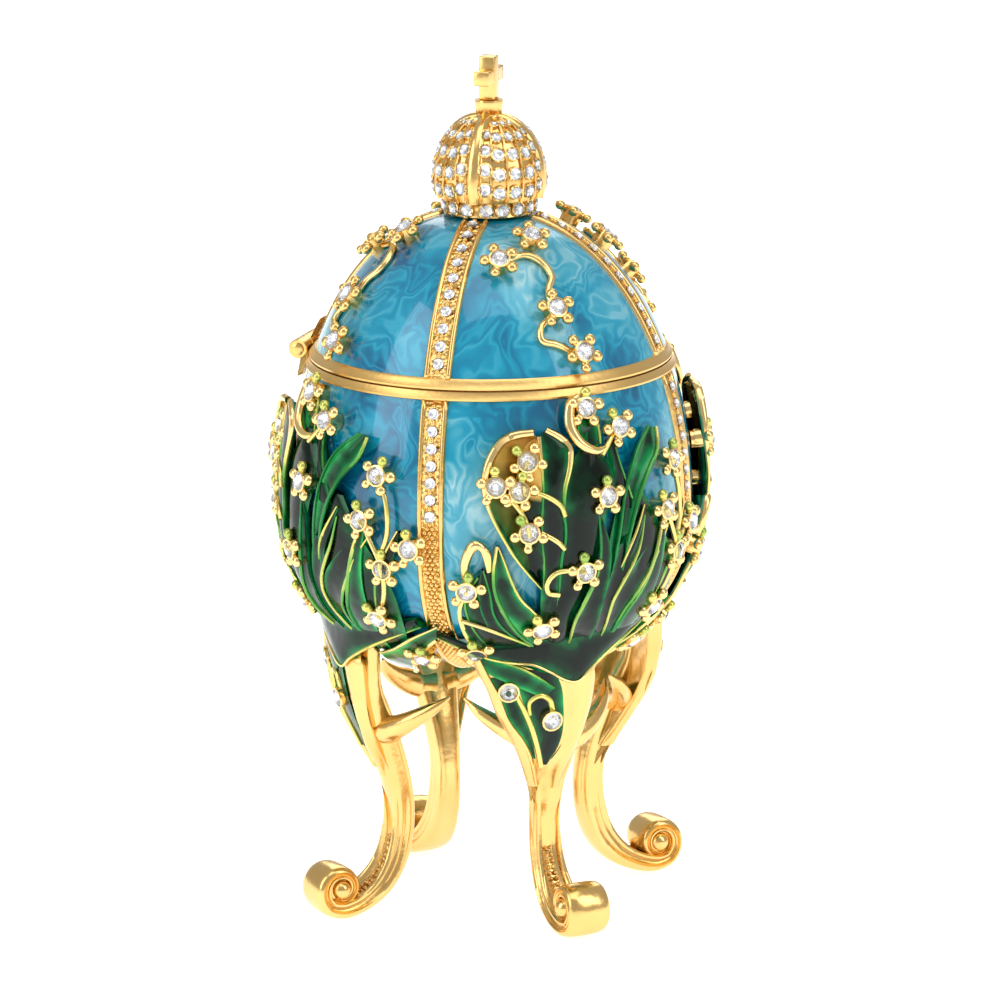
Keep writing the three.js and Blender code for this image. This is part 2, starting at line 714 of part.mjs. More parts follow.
function crown() {
  const bottom = CROWN_SEAT + FIT_GAP;
  const ringTop = bottom + CROWN_RING_HEIGHT;
  const domeTop = ringTop + CROWN_DOME_HEIGHT;
  const rings = [
    { radius: CROWN_RING_RADIUS, height: bottom, relief: 0 },
    { radius: CROWN_RING_RADIUS, height: ringTop, relief: 0 },
  ];
  const belly = ringTop + CROWN_DOME_HEIGHT * CROWN_BELLY;
  for (const angle of CROWN_ANGLES) {
    const radians = THREE.MathUtils.degToRad(angle);
    const reach = angle < 0 ? belly - ringTop : domeTop - belly;
    rings.push({
      radius: CROWN_RADIUS * Math.cos(radians) ** CROWN_FULLNESS,
      height: belly + reach * Math.sin(radians),
      relief: CROWN_RELIEF,
    });
  }
  rings.push({ radius: COLLAR_RADIUS, height: domeTop - CROWN_RELIEF, relief: 0 });
  rings.push({ radius: COLLAR_RADIUS, height: domeTop + COLLAR_HEIGHT, relief: 0 });
  const strap = THREE.MathUtils.radToDeg(STRAP_WIDTH / 2 / CROWN_RADIUS);
  const between = QUARTER - 2 * strap;
  const quarter = [
    [-strap, 0],
    [-strap * STRAP_BEVEL, 1],
    [strap * STRAP_BEVEL, 1],
    [strap, 0],
  ];
  for (const share of CROWN_RIDGES) {
    for (const [step, raised] of RIDGE_PROFILE) quarter.push([strap + between * (share + step), raised]);
  }
  const columns = [];
  for (let turn = 0; turn < RIB_COUNT; turn += 1) {
    for (const [place, raised] of quarter) columns.push([turn * QUARTER + place, raised]);
  }
  const sections = rings.map(({ radius, height, relief }) =>
    columns.map(([turn, raised]) => around(turn, radius + (raised - 1) * relief, height)),
  );
  const body = lofted(sections);
  const crossBottom = domeTop + COLLAR_HEIGHT;
  const sunk = COLLAR_HEIGHT / 2;
  const bars = [
    [CROSS_POST, CROSS_DEPTH, CROSS_HEIGHT + sunk, (CROSS_HEIGHT - sunk) / 2],
    [CROSS_SPAN, CROSS_DEPTH, CROSS_BAR, CROSS_MIDDLE],
  ];
  const cross = bars.map(([width, depth, height, centre]) =>
    solidOf(new THREE.BoxGeometry(width, depth, height).translate(0, 0, crossBottom + centre)),
  );
  return geometryOf(joined([body, ...cross]));
}

// The hinge: two leaves bent to the rims, three knuckles and a pin along X

const KNUCKLE = (HINGE_LENGTH - 2 * FIT_GAP) / 3;
const HINGE_BORE = PIN_RADIUS + PIN_CLEARANCE;
const HINGE_REACH = SEAM_RADIUS + BAND_PROUD + FIT_GAP + BARREL_RADIUS;

function knuckle(from, to) {
  const tube = new THREE.LatheGeometry(
    [
      new THREE.Vector2(HINGE_BORE, from),
      new THREE.Vector2(BARREL_RADIUS, from),
      new THREE.Vector2(BARREL_RADIUS, to),
      new THREE.Vector2(HINGE_BORE, to),
      new THREE.Vector2(HINGE_BORE, from),
    ],
    HINGE_SIDES,
  );
  tube.rotateZ(-Math.PI / 2);
  tube.translate(0, HINGE_REACH, SEAM_HEIGHT);
  return solidOf(tube);
}

function rod(radius, from, to) {
  const geometry = new THREE.CylinderGeometry(radius, radius, to - from, HINGE_SIDES);
  geometry.rotateZ(Math.PI / 2);
  geometry.translate((from + to) / 2, HINGE_REACH, SEAM_HEIGHT);
  return geometry;
}

// A plate that follows the egg's outline just off the rim band, from one height to another
function hingePlate(from, to) {
  const standoff = BAND_PROUD + FIT_GAP;
  const sections = [];
  const half = HINGE_LENGTH / 2;
  for (const x of [-half, -half / 3, half / 3, half]) {
    const back = (height, lift) => {
      const radius = eggRadius(height) + standoff + lift;
      return new THREE.Vector3(x, Math.sqrt(radius ** 2 - x ** 2), height);
    };
    sections.push([back(from, 0), back(from, HINGE_PLATE), back(to, HINGE_PLATE), back(to, 0)]);
  }
  return lofted(sections);
}

// One leaf: its plate, cut clear of the other leaf's knuckles, and its own knuckles
function hingeLeaf(sign, own, others) {
  const near = SEAM_HEIGHT + (sign * FIT_GAP) / 2;
  let leafSolid = hingePlate(near, near + sign * HINGE_PLATE_HEIGHT);
  for (const [from, to] of others) {
    leafSolid = leafSolid.subtract(solidOf(rod(BARREL_RADIUS + FIT_GAP, from - FIT_GAP, to + FIT_GAP)));
  }
  const bore = solidOf(rod(HINGE_BORE, -HINGE_LENGTH, HINGE_LENGTH));
  return joined([leafSolid, ...own.map(([from, to]) => knuckle(from, to))]).subtract(bore);
}

const HALF_HINGE = HINGE_LENGTH / 2;
const MIDDLE = KNUCKLE / 2;
const group = new THREE.Group();
group.add(named("bowl", bowl(), BLUE));
group.add(named("lid", lid(), BLUE));
group.add(named("crown", crown(), GOLD));
const OUTER_SPANS = [
  [-HALF_HINGE, -MIDDLE - FIT_GAP],
  [MIDDLE + FIT_GAP, HALF_HINGE],
];
const MIDDLE_SPAN = [[-MIDDLE, MIDDLE]];
group.add(named("hinge_leaf_on_bowl", geometryOf(hingeLeaf(-1, OUTER_SPANS, MIDDLE_SPAN)), GOLD));
group.add(named("hinge_leaf_on_lid", geometryOf(hingeLeaf(1, MIDDLE_SPAN, OUTER_SPANS)), GOLD));
group.add(named("hinge_pin", rod(PIN_RADIUS, -HALF_HINGE - PIN_HEAD, HALF_HINGE + PIN_HEAD), GOLD));

const CORNERS = ["front_right", "back_right", "back_left", "front_left"];
for (let corner = 0; corner < CORNERS.length; corner += 1) {
  const middle = (corner + 0.5) * QUARTER;
  const place = CORNERS[corner];
  group.add(named(`leg_and_leaves_${place}`, leg(middle), GREEN_GOLD));
  const lift = FLOWER_LIFT + STONE_SEAT;
  const setFlowers = SPRAY_FLOWERS.filter(({ set }) => set);
  const sets = {
    spray_stone: setFlowers.map(({ at }) => standing(...bowlPlace(at, middle), lift)),
    lid_stone: SPRIG_FLOWERS.map(([turn, share]) => standing(middle + turn, LID_RIM + share * LID_SPAN, lift)),
    leg_stone: LEG_STONES.map((each) => legStonePlace(each, middle, STONE_SEAT)),
  };
  for (const [kind, places] of Object.entries(sets)) {
    places.forEach((matrix, i) => {
      const name = `${kind}_${place}_${i + 1}`;
      if (name !== EMPTY_SETTING) group.add(named(name, stone(matrix), CRYSTAL));
    });
  }
}

export default group;
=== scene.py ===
"""The looks of a jewelled egg trinket box: marbled enamel, gilt ribs, enamelled leaf sprays, star flowers
with cut crystals, scroll legs and a small crown. Shapes are in millimetres and are stored in metres."""

import math

import bmesh
import bpy
from mathutils import Matrix, Vector


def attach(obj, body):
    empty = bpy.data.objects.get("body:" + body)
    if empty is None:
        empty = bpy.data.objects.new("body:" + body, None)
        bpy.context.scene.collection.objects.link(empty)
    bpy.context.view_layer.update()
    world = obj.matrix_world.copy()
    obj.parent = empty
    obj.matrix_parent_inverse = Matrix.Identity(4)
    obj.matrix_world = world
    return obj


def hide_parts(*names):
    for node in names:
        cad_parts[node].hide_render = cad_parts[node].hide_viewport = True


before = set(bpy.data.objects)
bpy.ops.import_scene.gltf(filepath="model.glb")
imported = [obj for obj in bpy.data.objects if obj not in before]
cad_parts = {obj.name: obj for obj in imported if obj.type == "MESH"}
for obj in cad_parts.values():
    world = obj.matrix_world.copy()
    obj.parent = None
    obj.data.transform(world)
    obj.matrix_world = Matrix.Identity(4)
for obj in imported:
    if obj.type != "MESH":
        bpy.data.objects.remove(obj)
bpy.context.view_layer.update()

MM = 0.001
QUARTER = 90
CORNERS = {"front_right": 45, "back_right": 135, "back_left": 225, "front_left": 315}

# Camera, fitted to the photograph
CAMERA_TURN = -72.5
CAMERA_RISE = 12.98
CAMERA_AWAY = 1043.36
CAMERA_AIM = 62.04
CAMERA_ROLL = 0.424
CAMERA_LENS = 247.6
CAMERA_SHIFT = 0.00815

# The egg, as the solids have it
EGG_RADIUS = 30.4
EGG_BOTTOM = 37.5
BELLY_HEIGHT = 62
SEAM_HEIGHT = 84.7
EGG_TOP = 107.2
UPPER_ROUNDNESS = 2.15
LOWER_ROUNDNESS = 2.1
WALL = 1.8
ENAMEL_DEPTH = 0.8
SEAM_GAP = 0.15
BAND_HEIGHT = 1.4
BAND_PROUD = 0.5
LIP_HEIGHT = 1.2
LIP_THICKNESS = 0.8
CROWN_BOTTOM = 106.54
CROWN_SEAT_RADIUS = 7.2


def around(turn, radius, height, side=0.0):
    """A point at an azimuth in degrees, where 0 is the front and it grows towards +X"""
    angle = math.radians(turn)
    out = Vector((math.sin(angle), -math.cos(angle), 0))
    across = Vector((math.cos(angle), math.sin(angle), 0))
    return out * radius + across * side + Vector((0, 0, height))


def egg_half(height):
    upper = height > BELLY_HEIGHT
    reach = EGG_TOP - BELLY_HEIGHT if upper else BELLY_HEIGHT - EGG_BOTTOM
    return (1 if upper else -1), reach, (UPPER_ROUNDNESS if upper else LOWER_ROUNDNESS)


def egg_radius(height, inset=0.0):
    _, reach, power = egg_half(height)
    share = min(1.0, abs(height - BELLY_HEIGHT) / (reach - inset))
    return (EGG_RADIUS - inset) * (1 - share**power) ** (1 / power)


def egg_normal(height):
    """The outward normal of the outline, as its radial and upward parts"""
    sign, reach, power = egg_half(height)
    height_share = abs(height - BELLY_HEIGHT) / reach
    radius_share = egg_radius(height) / EGG_RADIUS
    radial = radius_share ** (power - 1) / EGG_RADIUS
    upward = sign * height_share ** (power - 1) / reach
    return Vector((radial, upward)).normalized()


def egg_point(angle, sign, inset=0.0):
    """A point of the outline at an angle from the belly, where 90 is the pole, as radius and height"""
    reach = (EGG_TOP - BELLY_HEIGHT if sign > 0 else BELLY_HEIGHT - EGG_BOTTOM) - inset
    power = UPPER_ROUNDNESS if sign > 0 else LOWER_ROUNDNESS
    radians = math.radians(angle)
    radius = (EGG_RADIUS - inset) * max(0.0, math.cos(radians)) ** (2 / power)
    return radius, BELLY_HEIGHT + sign * reach * math.sin(radians) ** (2 / power)


def on_egg(turn, height, lift):
    normal = egg_normal(height)
    return around(turn, egg_radius(height) + normal.x * lift, height + normal.y * lift)


def facing(turn, direction, position, spin=0.0):
    """A matrix that turns a shape drawn about Z to face a direction given by radial and upward parts"""
    out = around(turn, direction.x, direction.y)
    side = around(turn, 0, 0, 1)
    up = out.cross(side)
    turned = Matrix((side, up, out)).transposed().to_4x4()
    return Matrix.Translation(position) @ turned @ Matrix.Rotation(math.radians(spin), 4, "Z")


def standing(turn, height, lift, spin=0.0):
    return facing(turn, egg_normal(height), on_egg(turn, height, lift), spin)


def eased(values, t):
    """A smooth curve through evenly spaced numbers or points, at t from 0 to 1"""
    last = len(values) - 1
    place = min(max(t, 0.0), 1.0) * last
    i = min(int(place), last - 1)
    f = place - i
    p1, p2 = values[i], values[i + 1]
    p0 = values[i - 1] if i > 0 else p1 + (p1 - p2)
    p3 = values[i + 2] if i + 2 <= last else p2 + (p2 - p1)
    return 0.5 * (2 * p1 + (p2 - p0) * f + (2 * p0 - 5 * p1 + 4 * p2 - p3) * f * f
                  + (3 * p1 - p0 - 3 * p2 + p3) * f**3)


# Finishes: node maths written as expressions


class Value:
    """An output socket. Arithmetic on it adds the Math nodes that work it out."""

    def __init__(self, finish, socket):
        self.finish = finish
        self.socket = socket

    def maths(self, operation, *values):
        return self.finish.node("ShaderNodeMath", {"operation": operation}, dict(enumerate(values)))

    def __add__(self, other):
        return self.maths("ADD", self, other)

    __radd__ = __add__

    def __sub__(self, other):
        return self.maths("SUBTRACT", self, other)

    def __rsub__(self, other):
        return self.maths("SUBTRACT", other, self)

    def __mul__(self, other):
        return self.maths("MULTIPLY", self, other)

    __rmul__ = __mul__

    def clamped(self):
        capped = self.maths("MINIMUM", self, 1.0)
        return self.maths("MAXIMUM", capped, 0.0)


class Finish:
    """A material and the calls that add its nodes"""

    def __init__(self, name, **plain):
        self.material = bpy.data.materials.new(name)
        self.material.use_nodes = True
        self.tree = self.material.node_tree
        self.shader = self.tree.nodes["Principled BSDF"]
        for socket, value in plain.items():
            self.shader.inputs[socket.replace("_", " ").title().replace("Ior", "IOR")].default_value = value

    def node(self, kind, settings, inputs, output=0):
        node = self.tree.nodes.new(kind)
        for name, value in settings.items():
            if name == "stops":
                ramp = node.color_ramp
                while len(ramp.elements) < len(value):
                    ramp.elements.new(0.5)
                for element, (position, colour) in zip(ramp.elements, value):
                    element.position = position
                    element.color = (*colour, 1)
            else:
                setattr(node, name, value)
        for key, value in inputs.items():
            if isinstance(value, Value):
                self.tree.links.new(value.socket, node.inputs[key])
            else:
                node.inputs[key].default_value = value
        return Value(self, node.outputs[output])

    def place(self):
        return self.node("ShaderNodeTexCoord", {}, {}, "Object")

    def attribute(self, name):
        return self.node("ShaderNodeAttribute", {"attribute_name": name}, {}, "Fac")

    def noise(self, place, scale, detail=2.0, output="Fac"):
        inputs = {"Vector": place, "Scale": scale, "Detail": detail}
        return self.node("ShaderNodeTexNoise", {}, inputs, output)

    def warped(self, place, scale, reach):
        """A place moved by a swirling noise, up to a reach in metres"""
        swirl = self.noise(place, scale, output="Color")
        kind = "ShaderNodeVectorMath"
        centred = self.node(kind, {"operation": "SUBTRACT"}, {0: swirl, 1: (0.5, 0.5, 0.5)})
        moved = self.node(kind, {"operation": "SCALE"}, {0: centred, "Scale": reach})
        return self.node(kind, {"operation": "ADD"}, {0: place, 1: moved})

    def ramp(self, value, *stops):
        return self.node("ShaderNodeValToRGB", {"stops": stops}, {"Fac": value}, "Color")

    def mix(self, share, first, second):
        inputs = {"Factor": share, 6: first, 7: second}
        return self.node("ShaderNodeMix", {"data_type": "RGBA"}, inputs, 2)

    def bump(self, height, strength, distance):
        inputs = {"Height": height, "Strength": strength, "Distance": distance}
        return self.node("ShaderNodeBump", {}, inputs)

    def feed(self, **links):
        for socket, value in links.items():
            self.tree.links.new(value.socket, self.shader.inputs[socket.replace("_", " ").title()])
        return self.material


GOLD_PALE = (0.92, 0.66, 0.28)
GOLD_DEEP = (0.76, 0.45, 0.12)


def polished_gold():
    finish = Finish("polished_gold", metallic=1.0)
    place = finish.place()
    cloud = finish.noise(place, 90, 3)
    tint = finish.mix(cloud, (*GOLD_DEEP, 1), (*GOLD_PALE, 1))
    ripple = finish.noise(place, 420, 2)
    rough = finish.noise(place, 700, 3) * 0.14 + 0.16
    return finish.feed(base_color=tint, roughness=rough, normal=finish.bump(ripple, 0.25, 0.0004))


def pebbled_gold():
    finish = Finish("pebbled_gold", metallic=1.0)
    place = finish.place()
    cells = finish.node("ShaderNodeTexVoronoi", {}, {"Vector": place, "Scale": 1100.0}, "Distance")
    # Painted shade: the gold is pale on the pebbles' crowns and deep in the gaps between them
    tint = finish.mix(cells, (*GOLD_PALE, 1), (*GOLD_DEEP, 1))
    rough = finish.noise(place, 700, 3) * 0.12 + 0.2
    return finish.feed(base_color=tint, roughness=rough, normal=finish.bump(1.0 - cells, 0.9, 0.0006))


def lining_gold():
    finish = Finish("lining_gold", metallic=1.0)
    place = finish.place()
    tint = finish.mix(finish.noise(place, 60, 3), (*GOLD_DEEP, 1), (*GOLD_PALE, 1))
    grain = finish.noise(place, 1400, 2)
    rough = finish.noise(place, 200, 3) * 0.15 + 0.28
    return finish.feed(base_color=tint, roughness=rough, normal=finish.bump(grain, 0.2, 0.0002))


def marbled_enamel():
    finish = Finish("marbled_blue_enamel", metallic=0.1, coat_weight=0.75, coat_roughness=0.03,
                    specular_ior_level=0.3)
    place = finish.place()
    once = finish.warped(place, 70, 0.022)
    twice = finish.warped(once, 150, 0.009)
    sweep = finish.noise(twice, 95, 1)
    waves = sweep * 62.0
    lines = waves.maths("SINE", waves) * 0.5 + 0.5
    clouds = finish.noise(once, 60, 1)
    fine = finish.noise(twice, 330, 2)
    tone = clouds * 0.62 + sweep * 0.32 + lines * 0.1 + fine * 0.08
    colour = finish.ramp(
        tone,
        (0.38, (0.001, 0.1, 0.22)),
        (0.47, (0.001, 0.2, 0.35)),
        (0.56, (0.004, 0.3, 0.46)),
        (0.65, (0.07, 0.4, 0.53)),
        (0.77, (0.32, 0.6, 0.67)),
    )
    rough = lines * 0.12 + 0.18
    return finish.feed(base_color=colour, roughness=rough, normal=finish.bump(lines, 0.05, 0.0002))


def leaf_enamel():
    finish = Finish("leaf_green_enamel", coat_weight=0.3, coat_roughness=0.03, specular_ior_level=0.12)
    place = finish.place()
    patches = finish.noise(finish.warped(place, 160, 0.006), 210, 2)
    thin = (finish.attribute("edge") * 0.95 + patches * 1.3 - 0.65).clamped()
    green = finish.ramp(
        thin,
        (0.0, (0.0008, 0.0055, 0.0025)),
        (0.3, (0.001, 0.026, 0.009)),
        (0.6, (0.001, 0.12, 0.032)),
        (0.85, (0.004, 0.28, 0.07)),
        (1.0, (0.03, 0.45, 0.1)),
    )
    gilt = finish.attribute("gilt")
    amber = finish.mix(patches, (0.85, 0.44, 0.05, 1), (1.0, 0.72, 0.22, 1))
    colour = finish.mix(gilt, green, amber)
    rough = patches * 0.1 + 0.08
    ripple = finish.noise(place, 260, 1)
    return finish.feed(base_color=colour, roughness=rough, metallic=gilt * 0.35,
                       normal=finish.bump(ripple, 0.5, 0.0006))


def rim_gold():
    finish = Finish("leaf_rim_gold")
    place = finish.place()
    patches = finish.noise(place, 160, 2)
    green = (finish.attribute("green") * 0.9 + patches * 0.7 - 0.35).clamped()
    colour = finish.ramp(
        green,
        (0.0, GOLD_PALE),
        (0.45, (0.72, 0.66, 0.17)),
        (0.75, (0.16, 0.42, 0.07)),
        (1.0, (0.01, 0.22, 0.045)),
    )
    rough = finish.noise(place, 500, 2) * 0.1 + 0.14
    return finish.feed(base_color=colour, roughness=rough, metallic=1.0 - green * 0.6)


def cut_crystal():
    finish = Finish("cut_crystal", base_color=(0.97, 0.98, 1, 1), roughness=0.0, ior=1.56,
                    transmission_weight=1.0)
    return finish.material


def crystal_foil():
    finish = Finish("crystal_foil", metallic=1.0)
    place = finish.place()
    tint = finish.mix(finish.noise(place, 900, 1), (0.85, 0.86, 0.9, 1), (1, 1, 1, 1))
    return finish.feed(base_color=tint, roughness=finish.noise(place, 500, 1) * 0.1 + 0.2)


def pale_floor():
    finish = Finish("pale_floor", roughness=0.6, emission_color=(1, 1, 1, 1), emission_strength=0.75)
    tint = finish.mix(finish.noise(finish.place(), 3, 1), (0.88, 0.88, 0.88, 1), (0.9, 0.9, 0.9, 1))
    return finish.feed(base_color=tint)


GOLD = polished_gold()
PEBBLED = pebbled_gold()
LINING = lining_gold()
BLUE = marbled_enamel()
GREEN = leaf_enamel()
RIM = rim_gold()
CRYSTAL = cut_crystal()
FOIL = crystal_foil()

# Mesh making


def piece(name, bm, body, materials, replaces=(), sharp=35.0, stage=False):
    """Stores a bmesh of millimetres as a named piece, smooth but for its sharp edges"""
    for edge in bm.edges:
        edge.smooth = edge.calc_face_angle(0.0) < math.radians(sharp)
    for face in bm.faces:
        face.smooth = True
    bmesh.ops.scale(bm, vec=(MM, MM, MM), verts=bm.verts)
    mesh = bpy.data.meshes.new(name)
    bm.to_mesh(mesh)
    bm.free()
    obj = bpy.data.objects.new(name, mesh)
    bpy.context.scene.collection.objects.link(obj)
    for material in materials:
        mesh.materials.append(material)
    if stage:
        return obj
    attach(obj, body)
    if replaces:
        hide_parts(*replaces)
    return obj


def spun(bm, outline, steps=96):
    """A solid of revolution from radius and height pairs, walked from axis to axis or round a ring"""
    ring = outline[0][0] > 1e-6
    verts = [bm.verts.new((radius, 0, height)) for radius, height in outline]
    pairs = list(zip(verts, verts[1:])) + ([(verts[-1], verts[0])] if ring else [])
    edges = [bm.edges.new(pair) for pair in pairs]
    bmesh.ops.spin(bm, geom=verts + edges, cent=(0, 0, 0), axis=(0, 0, 1), dvec=(0, 0, 0),
                   angle=2 * math.pi, steps=steps, use_merge=True, use_duplicate=False)
    bmesh.ops.remove_doubles(bm, verts=bm.verts, dist=1e-4)
    bmesh.ops.recalc_face_normals(bm, faces=bm.faces)


def swept(bm, sides, rows, place, mark=None):
    """A closed bar through rings of points: place(turn, along) gives each, both from 0 to 1"""
    verts = bmesh.ops.create_grid(bm, x_segments=sides, y_segments=rows, size=0.5)["verts"]
    for vert in verts:
        u, v = vert.co.x + 0.5, vert.co.y + 0.5
        vert.co = place(u, v)
        if mark:
            mark(vert, u, v)
    found = bmesh.ops.find_doubles(bm, verts=verts, dist=1e-4)
    bmesh.ops.weld_verts(bm, targetmap=found["targetmap"])
    verts = [vert for vert in verts if vert.is_valid]
    edges = {edge for vert in verts for edge in vert.link_edges if edge.is_boundary}
    bmesh.ops.holes_fill(bm, edges=list(edges), sides=0)
    bmesh.ops.recalc_face_normals(bm, faces=list({face for vert in verts for face in vert.link_faces}))


def wire(bm, points, thick, sides=6, mark=None):
    """A round wire along points, its thickness eased along a list of radii"""
    steps = max(2, 5 * (len(points) - 1))

    def place(turn, along):
        centre = eased(points, along)
        ahead = (eased(points, min(1, along + 0.02)) - eased(points, max(0, along - 0.02))).normalized()
        side = ahead.cross(Vector((centre.x, centre.y, 0.3))).normalized()
        up = side.cross(ahead)
        angle = 2 * math.pi * turn
        radius = eased(thick, along)
        return centre + (side * math.cos(angle) + up * math.sin(angle)) * radius

    swept(bm, sides, steps, place, mark)


def stamped(bm, template, matrix):
    """A copy of a template mesh, placed by a matrix"""
    copy = template.copy()
    copy.transform(matrix)
    bm.from_mesh(copy)
    bpy.data.meshes.remove(copy)


def template(name, bm):
    """A mesh to be stamped, from a bmesh that is done with"""
    mesh = bpy.data.meshes.new(name)
    bm.to_mesh(mesh)
    bm.free()
    return mesh


# Stones: round cut crystals with silvered backs


def cut_stone(name, depth):
    """A cut stone of girdle radius 1: its table, crown and girdle above zero and its back below"""
    bm = bmesh.new()
    rings = [(8, 0.56, 0.36, 0), (8, 0.84, 0.2, 22.5), (16, 1.0, 0.0, 11.25)]
    rings += [(8, 0.5, -0.6 * depth, 0), (1, 0.0, -depth, 0)]
    for count, radius, height, turn in rings:
        for i in range(count):
            angle = math.radians(turn + 360 * i / count)
            bm.verts.new((radius * math.cos(angle), radius * math.sin(angle), height))
    bmesh.ops.convex_hull(bm, input=bm.verts)
    bmesh.ops.dissolve_limit(bm, angle_limit=0.01, verts=bm.verts, edges=bm.edges)
    for face in bm.faces:
        face.material_index = 1 if face.calc_center_median().z < 0 else 0
    return template(name, bm)


STONE = cut_stone("cut_stone", 0.5)
SHALLOW_STONE = cut_stone("shallow_stone", 0.2)


def stones(name, body, places, replaces=(), shape=STONE):
    """One piece of many stones, each given as its matrix and girdle radius"""
    bm = bmesh.new()
    for matrix, radius in places:
        stamped(bm, shape, matrix @ Matrix.Scale(radius, 4))
    return piece(name, bm, body, [CRYSTAL, FOIL], replaces, sharp=1.0)


# Collets and flowers


def collet(bm, matrix, radius, height=1.0, depth=0.52):
    """A cup that holds a stone, its lip at the stone's girdle and its hollow clear of the stone's back"""
    outer = radius + 0.24
    floor_height = -depth * radius - 0.03
    outline = [(outer * 0.86, -height), (outer, -0.25), (outer * 0.98, 0.05), (radius * 0.96, 0.1),
               (radius * 0.95, -0.08), (radius * 0.8, floor_height)]
    ring = bmesh.new()
    spun(ring, [(0, -height), *outline, (0, floor_height)], 14)
    stamped(bm, template("collet", ring), matrix)


STONE_RADIUS = 1.45

# Size, reach and green tint of each ball petal
PETALS = [(0.95, 2.25, -0.6), (0.84, 2.35, 0.6), (0.9, 2.15, -0.6), (0.78, 2.4, -0.2), (0.92, 2.25, -0.6)]


def star_flower():
    """Five ball petals on short arms round a collet, drawn about Z with its stone's girdle at zero"""
    bm = bmesh.new()
    green = bm.verts.layers.float.new("green")
    collet(bm, Matrix.Identity(4), STONE_RADIUS, 2.6)
    for petal, (size, reach, tint) in enumerate(PETALS):
        turn = Matrix.Rotation(math.radians(72 * petal), 4, "Z")
        for out, scale in ((1.75, (0.7, 0.62, 0.55, 1)), (reach, (size, size, size * 0.9, 1))):
            ball = turn @ Matrix.Translation((out, 0, -0.45)) @ Matrix.Diagonal(scale)
            for vert in bmesh.ops.create_icosphere(bm, subdivisions=2, radius=1, matrix=ball)["verts"]:
                vert[green] = tint
    return template("star_flower", bm)


FLOWER = star_flower()

# The egg's shells


def bowl_shells():
    rim = SEAM_HEIGHT - SEAM_GAP
    below_band = rim - BAND_HEIGHT
    outer = [egg_point(angle, -1) for angle in range(90, 0, -3)]
    height = BELLY_HEIGHT
    while height < below_band - 0.4:
        outer.append((egg_radius(height), height))
        height += 1.2
    outer.append((egg_radius(below_band - 0.25), below_band - 0.25))
    outer.append((egg_radius(below_band), below_band))
    inner = [(egg_radius(max(h, EGG_BOTTOM + 1.2), ENAMEL_DEPTH), h) for _, h in reversed(outer[1:])]
    inner = [(r, h) for r, h in inner if h > EGG_BOTTOM + 2.5]
    bm = bmesh.new()
    spun(bm, [*outer, *inner, (0, EGG_BOTTOM + ENAMEL_DEPTH)], 128)
    piece("bowl_enamel", bm, "base", [BLUE], ["bowl"])

    radius = egg_radius(SEAM_HEIGHT)
    lip = egg_radius(SEAM_HEIGHT, WALL) + LIP_THICKNESS
    band = [(radius - ENAMEL_DEPTH, below_band), (radius + 0.1, below_band - 0.1),
            (egg_radius(below_band) + BAND_PROUD * 0.8, below_band + 0.15),
            (egg_radius(below_band) + BAND_PROUD, below_band + 0.45),
            (radius + BAND_PROUD * 1.05, rim - 0.3), (radius + BAND_PROUD * 0.85, rim),
            (lip, rim), (lip, rim + LIP_HEIGHT - 0.2), (lip - 0.2, rim + LIP_HEIGHT),
            (lip - LIP_THICKNESS + 0.1, rim + LIP_HEIGHT), (lip - LIP_THICKNESS, rim + LIP_HEIGHT - 0.15)]
    inside = []
    height = SEAM_HEIGHT - 1
    while height > BELLY_HEIGHT:
        inside.append((egg_radius(height, WALL), height))
        height -= 2
    inside += [egg_point(angle, -1, WALL) for angle in range(0, 91, 5)]
    outside = [(egg_radius(h, ENAMEL_DEPTH + 0.02) - 0.02, h) for h in
               [EGG_BOTTOM + 2.6 + 2.5 * i for i in range(17)] if h < below_band - 1]
    bm = bmesh.new()
    spun(bm, [(0, EGG_BOTTOM + ENAMEL_DEPTH + 0.05), *outside, *band, *inside], 96)
    piece("bowl_lining_and_rim", bm, "base", [LINING])


def lid_shells():
    rim = SEAM_HEIGHT + SEAM_GAP
    above_band = rim + BAND_HEIGHT
    outer = [(egg_radius(above_band), above_band)]
    height = above_band + 0.3
    top = CROWN_BOTTOM - 0.3
    while height < 100:
        outer.append((egg_radius(height), height))
        height += 1.1
    outer += [egg_point(angle, 1) for angle in range(58, 91, 2) if egg_point(angle, 1)[1] < top]
    outer.append((CROWN_SEAT_RADIUS - 0.3, top))
    inner = [(egg_radius(h, ENAMEL_DEPTH), h) for _, h in outer[:-1]]
    inner = [(r, h) for r, h in inner if h < top - 0.4]
    bm = bmesh.new()
    spun(bm, [*outer, (0, top), (0, top - 0.35), *reversed(inner)], 128)
    piece("lid_enamel", bm, "lid", [BLUE], ["lid"])

    radius = egg_radius(SEAM_HEIGHT)
    rebate = egg_radius(SEAM_HEIGHT, WALL) + LIP_THICKNESS + 0.3
    ledge = rim + LIP_HEIGHT - 0.1
    band = [(rebate, ledge), (rebate, rim), (radius + BAND_PROUD * 0.85, rim),
            (radius + BAND_PROUD, rim + 0.3), (egg_radius(above_band) + BAND_PROUD, above_band - 0.45),
            (egg_radius(above_band) + BAND_PROUD * 0.8, above_band - 0.15),
            (egg_radius(above_band) + 0.1, above_band + 0.1), (radius - ENAMEL_DEPTH - 0.3, above_band)]
    outside = [egg_point(angle, 1, ENAMEL_DEPTH + 0.04) for angle in range(30, 90, 3)]
    outside = [(r, h) for r, h in outside if above_band + 0.5 < h < top - 0.45]
    inside = [egg_point(angle, 1, WALL) for angle in range(90, 30, -3)]
    inside = [(r, h) for r, h in inside if h > ledge + 0.5]
    bm = bmesh.new()
    spun(bm, [*inside, (egg_radius(ledge, WALL), ledge + 0.05), *band, *outside, (0, top - 0.4)], 96)
    piece("lid_lining_and_rim", bm, "lid", [LINING])


# Ribs: a raised strip with a border on each side and a channel for stones or pebbling between

